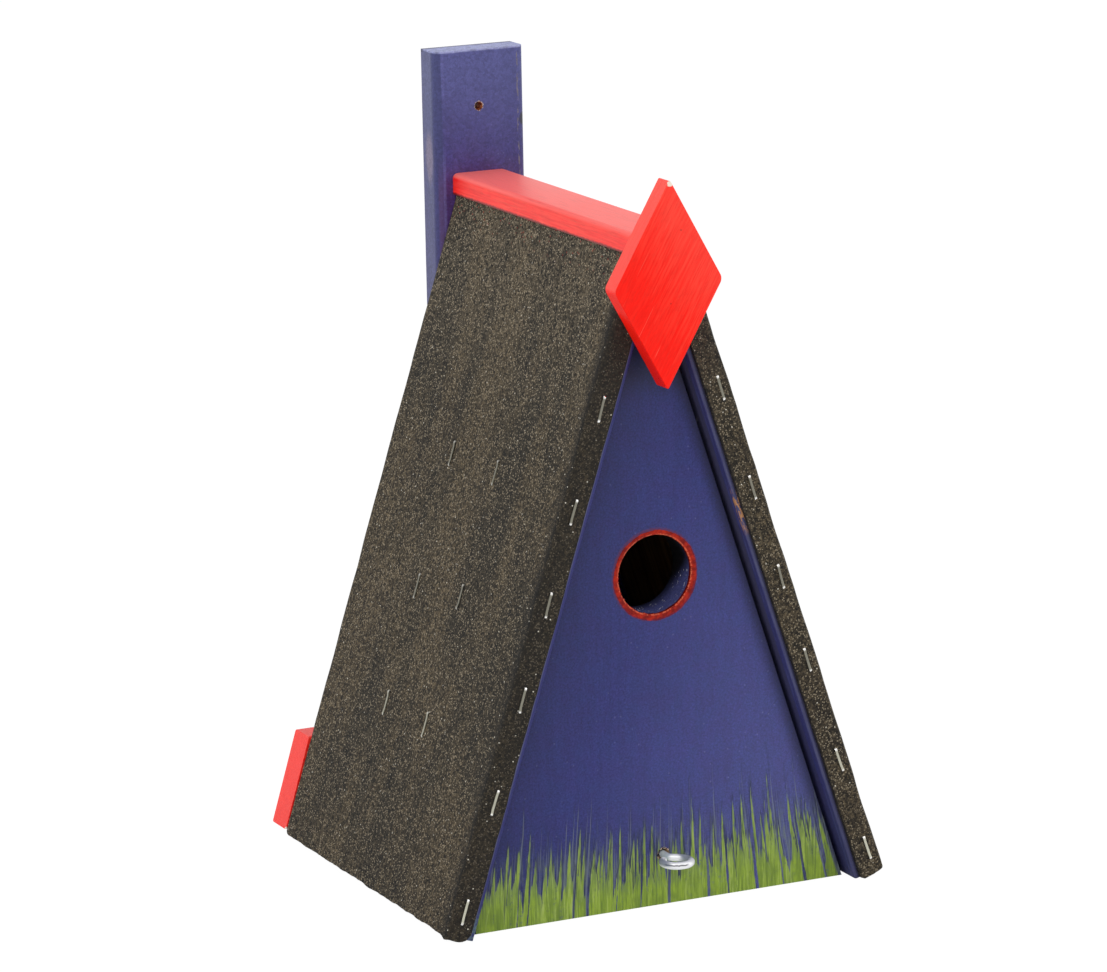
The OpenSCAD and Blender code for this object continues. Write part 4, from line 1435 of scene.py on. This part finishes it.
def eye_finish(name):
    """Near-white zinc with painted reflections: a thin dark line along the ring's front, darker right and
    left ends, and a bluish neck.
    """
    f = Finish(name, metallic=0.25)
    clouds = f.noise(1.5, 3, 0.6)
    x, y, z = (f.along(axis, ring_centre) for axis in (ACROSS, BACK, UP))
    beyond = f.minus(f.away(x, y), (ring_outer - eye_wire / 2) / MM)
    front = f.both(f.step(beyond, 0.2, 0.8), f.step(y, 0.5, -1.5))
    ends = f.both(f.step(x, 2.6, 0.6), f.step(x, -6.9, -6.0))
    level = f.math("ABSOLUTE", f.scaled(clouds, 0.5, f.minus(z, 0.7)))
    # A near-white base that is only partly metal: the zinc's brightness is painted as its reflection.
    colour = f.shade(BRIGHT_ZINC, 0.06, clouds)
    # Painted reflection: a thin dark line along the ring's front.
    colour = f.coat(colour, DARK_LINE_REFLECTION, f.both(front, ends, f.step(level, 0.4, 0.15)), 0.85)
    # Painted reflections: darker zinc at the ring's right and left ends.
    right = f.both(f.step(y, -3.5, -1.0), f.step(x, 2.0, 4.0))
    left = f.both(f.step(x, -4.2, -6.2), f.step(z, -0.7, 0.3))
    colour = f.coat(colour, DARK_ZINC_REFLECTION, f.math("MAXIMUM", right, left), 0.7)
    # Painted reflection: a bluish tint at the neck.
    colour = f.coat(colour, BLUE_NECK_REFLECTION, f.step(y, 4.8, 6.8), 0.5)
    return f.finish(colour, f.scaled(clouds, 0.2, 0.1), f.bump(f.noise(0.5), 0.03))

def screw_eye():
    """A round wire on a shank, a bent neck and 291 degrees of a circle, thin at the shank's tip."""
    ring = ring_outer - eye_wire / 2
    turn = np.radians(np.linspace(RING_START, RING_END, 90))
    loop = ring_centre + ring * np.stack((np.cos(turn), np.sin(turn), 0 * turn), -1)
    tip = np.array([ring_centre[0], eye_high[1], ring_centre[2]])
    corner = ring_centre + np.array([0, ring / math.sin(turn[0]), 0])
    neck = bent_path([tip, corner, loop[0]], NECK_BEND, 60)
    line = equal_steps(np.concatenate((neck, loop[1:])), 170)
    travelled = np.linspace(0, 1, len(line)) * length_of(line) / MM
    swell = 0.25 + 0.75 * ease(travelled, 0, 3.2)
    swell = swell * (1 - 0.35 * ease(travelled, travelled[-1] - 0.7, travelled[-1]) ** 2)
    a = np.linspace(0, 2 * np.pi, 24, endpoint=False)
    section = eye_wire / 2 * np.stack((np.cos(a), np.sin(a)), -1)
    rings, faces = swept(line, UP, section, swell)
    return make_piece("bent_screw_eye", rings, faces, eye_finish("zinc_eye"), "front", "screw_eye")

screw_eye()

# %% [markdown]
# ## Screws
# The screws in the back have countersunk heads with a cross. Cutting the cross out of a cone leaves long,
# ragged faces, so the whole surface is a height over radius and angle: flat, with two arms pressed in that
# get shallow towards their ends, and a rim that rolls over into the cone.

# %% Screw heads
HEAD_WIDTH = 7
ROUND = 96

def cross_recess(x, z):
    """Depth in millimetres of the cross at a place on the head: 1.5 times the deeper of its two arms."""
    arms = [ease(-np.abs(v), -0.62, -0.36) * ease(-np.abs(u), -2.1, -1.1) for u, v in ((x, z), (z, x))]
    return 1.5 * np.maximum(*arms)

def screws(node, seed):
    """The screws of a node: a profile of (radius, depth) turned round each axis, less the cross."""
    chance = np.random.default_rng(seed)
    a = np.linspace(0, 2 * np.pi, ROUND, endpoint=False)
    flat = [(r, 0.0) for r in np.linspace(0, 3.25, 40)]
    profile = flat + [(3.36, 0.03), (3.44, 0.1), (3.48, 0.2), (1.75, 1.75), (1.75, 24), (0, 26)]
    rings = []
    for solid in solids_of(node):
        low, high = solid.min(0), solid.max(0)
        size = (high[0] - low[0]) / HEAD_WIDTH
        turn = chance.uniform(0, np.pi)
        r, depth = (np.array(profile).T[:, :, None] + 0 * a)
        recess = cross_recess(r * np.cos(a + turn), r * np.sin(a + turn))
        depth = depth + recess * (r < 3.3) * (depth == 0)
        middle = (low + high) / 2
        x, z = middle[0] + size * r * np.cos(a), middle[2] + size * r * np.sin(a)
        rings.append(np.stack((x, high[1] - depth * MM, z), -1))
    faces = copies(quads(len(profile), ROUND, wrap_columns=True), len(profile) * ROUND, len(rings))
    return make_piece(node + "_heads", np.concatenate(rings), faces, zinc, body_of[node], node)

screws("batten_screws", 61)
screws("crosspiece_screws", 62)

# %% [markdown]
# ## Entrance
# The red ring of paint round the entrance is thick enough to have an edge of its own: a closed band that
# lies on the face, turns over the arris and ends just inside the bore. It is widest at the lower right,
# where the brush pressed, and serrated where the drill tore the softwood's fibres.

# %% Painted rim of the entrance
DARK_RIM = srgb(116, 12, 8)
RED_RIM = srgb(170, 34, 12)
RIM_SHADE_IN_BORE = srgb(84, 9, 8)
RIM_HIGHLIGHT = srgb(206, 96, 66)
THIN_RIM = srgb(74, 30, 66)
RIM = [
    # radius over the bore's, depth behind the face, share of the serration
    (2.25, 0.10, 0.0), (2.15, -0.09, 0.0), (1.75, -0.17, 0.0), (1.1, -0.19, 0.1), (0.55, -0.17, 0.2),
    (0.12, -0.12, 0.5), (-0.16, 0.02, 1.0), (-0.25, 0.35, 1.0), (-0.27, 0.8, 1.0), (-0.24, 1.2, 0.7),
    (-0.16, 1.6, 0.4),
    (0.25, 1.75, 0.0), (0.5, 1.2, 0.0), (1.2, 0.4, 0.0),
]
RIM_STEPS = 720

def rim_finish(name):
    """Dark red, with painted shade inside the bore and a painted light orange highlight where it turns into
    the bore, and thin at its outer edge.
    """
    f = Finish(name, specular=0.15)
    blotch = f.noise(2.5, 4, 0.6)
    fine = f.noise(0.9, 3, 0.65)
    radius = f.from_axis(entrance)
    depth = behind(f, front_face)
    colour = f.coat(DARK_RIM, RED_RIM, f.step(blotch, 0.35, 0.65))
    # Painted shade on the rim's paint inside the bore.
    colour = f.coat(colour, RIM_SHADE_IN_BORE, f.step(depth, 0.05, 0.5), 0.85)
    # Painted highlight: light orange where the paint turns into the bore.
    turned = f.both(f.step(radius, entrance_r + 0.5, entrance_r + 0.1), f.step(depth, 0.35, 0.1))
    colour = f.coat(colour, RIM_HIGHLIGHT, f.both(turned, f.step(fine, 0.42, 0.54)), 0.8)
    thin = f.times(f.step(radius, entrance_r + 1.4, entrance_r + 2.5), f.step(fine, 0.25, 0.6))
    colour = f.coat(colour, THIN_RIM, thin, 0.75)
    return f.finish(f.shade(colour, 0.25, f.noise(0.6)), 0.45, f.bump(blotch, 0.2))

def rim_of_paint():
    """The profile turned round the entrance: its outer radii grow by 0.97 + 0.26 cos(angle + 50 degrees) and
    waver, its inner ones are serrated, and its depth in the bore wavers too."""
    radius, depth, serrated = (column[:, None] for column in np.array(RIM).T)
    a = np.linspace(0, 2 * np.pi, RIM_STEPS, endpoint=False)
    uneven = 0.22 * wrapped_noise(a, 26, 71) + 0.10 * wrapped_noise(a, 110, 72)
    inside = 0.25 * wrapped_noise(a, 34, 73) + 0.12 * wrapped_noise(a, 120, 74)
    rougher = 0.35 + 0.65 * ease(-np.cos(a - 0.4), -0.2, 0.7)
    torn = np.maximum(wrapped_noise(a, 240, 75), 0) ** 1.5 * rougher
    thicker = 0.97 + 0.26 * np.cos(a + np.radians(50))
    shift = np.where(radius > 1.5, uneven, 0) - 0.34 * serrated * torn
    reach = (entrance_r + (radius * np.where(radius > 1, thicker, 1) + shift)) * MM
    depth = depth + np.where(depth > 1.0, inside, 0) + 0 * a
    x, z = entrance[0] + reach * np.cos(a), entrance[2] + reach * np.sin(a)
    points = np.stack((x, front_face + depth * MM, z), -1)
    faces = quads(len(RIM), RIM_STEPS, wrap_rows=True, wrap_columns=True)
    return make_piece("entrance_rim", points, faces, rim_finish("rim_paint"), "front")

rim_of_paint()

# %% [markdown]
# The drill tore the wood at the screw eye and in the bore. Each fibre could be a hair, but a thin spike
# catches the light as a splinter does. It starts on the wood with a direction of its own and ends in a
# point. At the screw eye the spikes are raw wood; in the bore they were painted over and stayed pale.

# %% Splinters and fibres
DARK_TEAR = srgb(150, 108, 78)
PALE_TEAR = srgb(236, 214, 184)
DARK_FIBRE = srgb(124, 124, 152)
PALE_FIBRE = srgb(206, 202, 206)

def torn_wood(name, dark, light):
    """Fibres between a dark and a light tone."""
    f = Finish(name, specular=0.2)
    return f.finish(f.coat(dark, light, f.step(f.noise(0.7), 0.35, 0.6)), 0.8)

def spikes(name, starts, ends, widths, finish):
    """Four-sided spikes from starts to ends with widths at their bases, 0.8 and 0.35 of that on the way."""
    along = ends - starts
    side = np.cross(along, np.array([0.3, 0.9, 0.31]))
    side = side / np.linalg.norm(side, axis=1, keepdims=True)
    other = np.cross(along, side)
    other = other / np.linalg.norm(other, axis=1, keepdims=True)
    corner = np.array([(1, 0), (0, 0.5), (-1, 0), (0, -0.5)])
    offsets = corner[None, :, :1] * side[:, None] + corner[None, :, 1:] * other[:, None]
    levels = []
    for share, size in ((0, 0), (0, 1), (0.45, 0.8), (0.85, 0.35), (1, 0)):
        levels.append(starts[:, None] + share * along[:, None] + size * widths[:, None, None] / 2 * offsets)
    faces = copies(quads(5, 4, wrap_columns=True), 20, len(starts))
    return make_piece(name, np.stack(levels, 1), faces, finish, "front")

def mouth_splinters(finish):
    """Torn wood from the right over the top to the left of the eye's shank, 2.2 to 2.7 mm from its axis. Each
    spike points 0.5 of its reach outwards, 0.75 forwards and 0.15 up."""
    chance = np.random.default_rng(81)
    count = 34
    a = np.radians(chance.uniform(30, 215, count))
    radius = chance.uniform(2.2, 2.7, count) * MM
    base = np.stack((np.cos(a), 0 * a, np.sin(a)), -1)
    starts = np.array([ring_centre[0], front_face + 0.3 * MM, ring_centre[2]]) + base * radius[:, None]
    reach = chance.uniform(0.4, 1.1, count)[:, None] * MM
    ends = starts + base * reach * 0.5 + np.array([0, -1, 0.2]) * reach * 0.75
    return spikes("mouth_splinters", starts, ends, chance.uniform(0.3, 0.7, count) * MM, finish)

def bore_fibres(finish):
    """Short pale fibres on the lower right of the bore, 2.2 to 13 mm deep. Each points 0.55 of its reach
    inwards, 0.5 towards the front, and by chance to either side round the wall."""
    chance = np.random.default_rng(91)
    count = 70
    a = np.radians(chance.uniform(-125, -5, count))
    depth = chance.uniform(2.2, 13, count) * MM
    wall = np.stack((np.cos(a), 0 * a, np.sin(a)), -1)
    starts = np.array([entrance[0], front_face, entrance[2]]) + wall * (entrance_r + 0.1) * MM
    starts[:, 1] += depth
    turned = np.stack((-np.sin(a), 0 * a, np.cos(a)), -1) * chance.normal(0, 0.6, count)[:, None]
    reach = chance.uniform(0.5, 1.6, count)[:, None] * MM
    ends = starts + (turned - 0.55 * wall + np.array([0, -0.5, 0])) * reach
    return spikes("bore_fibres", starts, ends, chance.uniform(0.12, 0.35, count) * MM, finish)

mouth_splinters(torn_wood("raw_wood", DARK_TEAR, PALE_TEAR))
bore_fibres(torn_wood("painted_fibre", DARK_FIBRE, PALE_FIBRE))

# %% [markdown]
# ## Light
# A product picture is lit from all round by soft light: a bright white room, a large lamp high on the left
# and a weaker one on the right. The ground is white too, and only a faint shadow shows on it. More light
# would make it white and bleach the box as well, so a glow that only the camera sees is mixed into it.

# %% Floor
NEARLY_WHITE = srgb(250, 250, 250)
FLOOR_HALF = 3.0
FLOOR_GLOW = 1.03

def white_to_the_camera(material, share):
    """Mixes in a plain white glow that only the camera sees."""
    tree = material.node_tree
    glow = tree.nodes.new("ShaderNodeEmission")
    glow.inputs["Strength"].default_value = FLOOR_GLOW
    path = tree.nodes.new("ShaderNodeLightPath")
    blend = tree.nodes.new("ShaderNodeMixShader")
    part = tree.nodes.new("ShaderNodeMath")
    part.operation = "MULTIPLY"
    part.inputs[1].default_value = share
    tree.links.new(path.outputs["Is Camera Ray"], part.inputs[0])
    tree.links.new(part.outputs[0], blend.inputs[0])
    tree.links.new(tree.nodes["Principled BSDF"].outputs[0], blend.inputs[1])
    tree.links.new(glow.outputs[0], blend.inputs[2])
    tree.links.new(blend.outputs[0], tree.nodes["Material Output"].inputs["Surface"])

floor_finish = Finish("pale_floor", specular=0.0)
floor_finish.finish(NEARLY_WHITE, 1.0)
white_to_the_camera(floor_finish.material, 0.96)
floor_mesh = bpy.data.meshes.new("floor")
floor_corners = [(x * FLOOR_HALF, y * FLOOR_HALF, 0) for x, y in ((-1, -1), (1, -1), (1, 1), (-1, 1))]
floor_mesh.from_pydata(floor_corners, [], [(0, 1, 2, 3)])
floor_mesh.materials.append(floor_finish.material)
floor = bpy.data.objects.new("floor", floor_mesh)
bpy.context.scene.collection.objects.link(floor)
print("floor of", 2 * FLOOR_HALF, "m")

# %% [markdown]
# The room is the world's own background, and it lights the box a little less strongly than it shows to the
# camera. A sky texture would tint the paint, so it is plain white. The lamps are large, because a small one
# throws hard shadows, and each is turned so that its own -Z looks at the middle of the box.

# %% Room and lamps
ROOM_LIGHT = 0.95
ROOM_SEEN = 1.02

world = bpy.data.worlds.new("studio")
bpy.context.scene.world = world
world.use_nodes = True
sky = world.node_tree
light_path = sky.nodes.new("ShaderNodeLightPath")
mix = sky.nodes.new("ShaderNodeMixShader")
backgrounds = sky.nodes["Background"], sky.nodes.new("ShaderNodeBackground")
sky.links.new(light_path.outputs["Is Camera Ray"], mix.inputs[0])
for socket, background, strength in zip(mix.inputs[1:], backgrounds, (ROOM_LIGHT, ROOM_SEEN)):
    background.inputs["Color"].default_value = WHITE
    background.inputs["Strength"].default_value = strength
    sky.links.new(background.outputs[0], socket)
sky.links.new(mix.outputs[0], sky.nodes["World Output"].inputs["Surface"])

def soft_light(name, place, aim, size, watts):
    """A square area lamp that looks from place to aim."""
    data = bpy.data.lights.new(name, "AREA")
    data.size = size
    data.energy = watts
    made = bpy.data.objects.new(name, data)
    made.location = place
    made.rotation_euler = (Vector(aim) - Vector(place)).to_track_quat("-Z", "Y").to_euler()
    bpy.context.scene.collection.objects.link(made)
    return made

LAMP_SIZE = 1.2
box_middle = Vector((0, 0, 0.15))
key = soft_light("key", (-1.6, -1.2, 1.9), box_middle, LAMP_SIZE, 7)
fill = soft_light("fill", (1.6, -1.4, 0.9), box_middle, LAMP_SIZE, 3)
print("lamps:", key.data.energy, "and", fill.data.energy, "watts")

# %% [markdown]
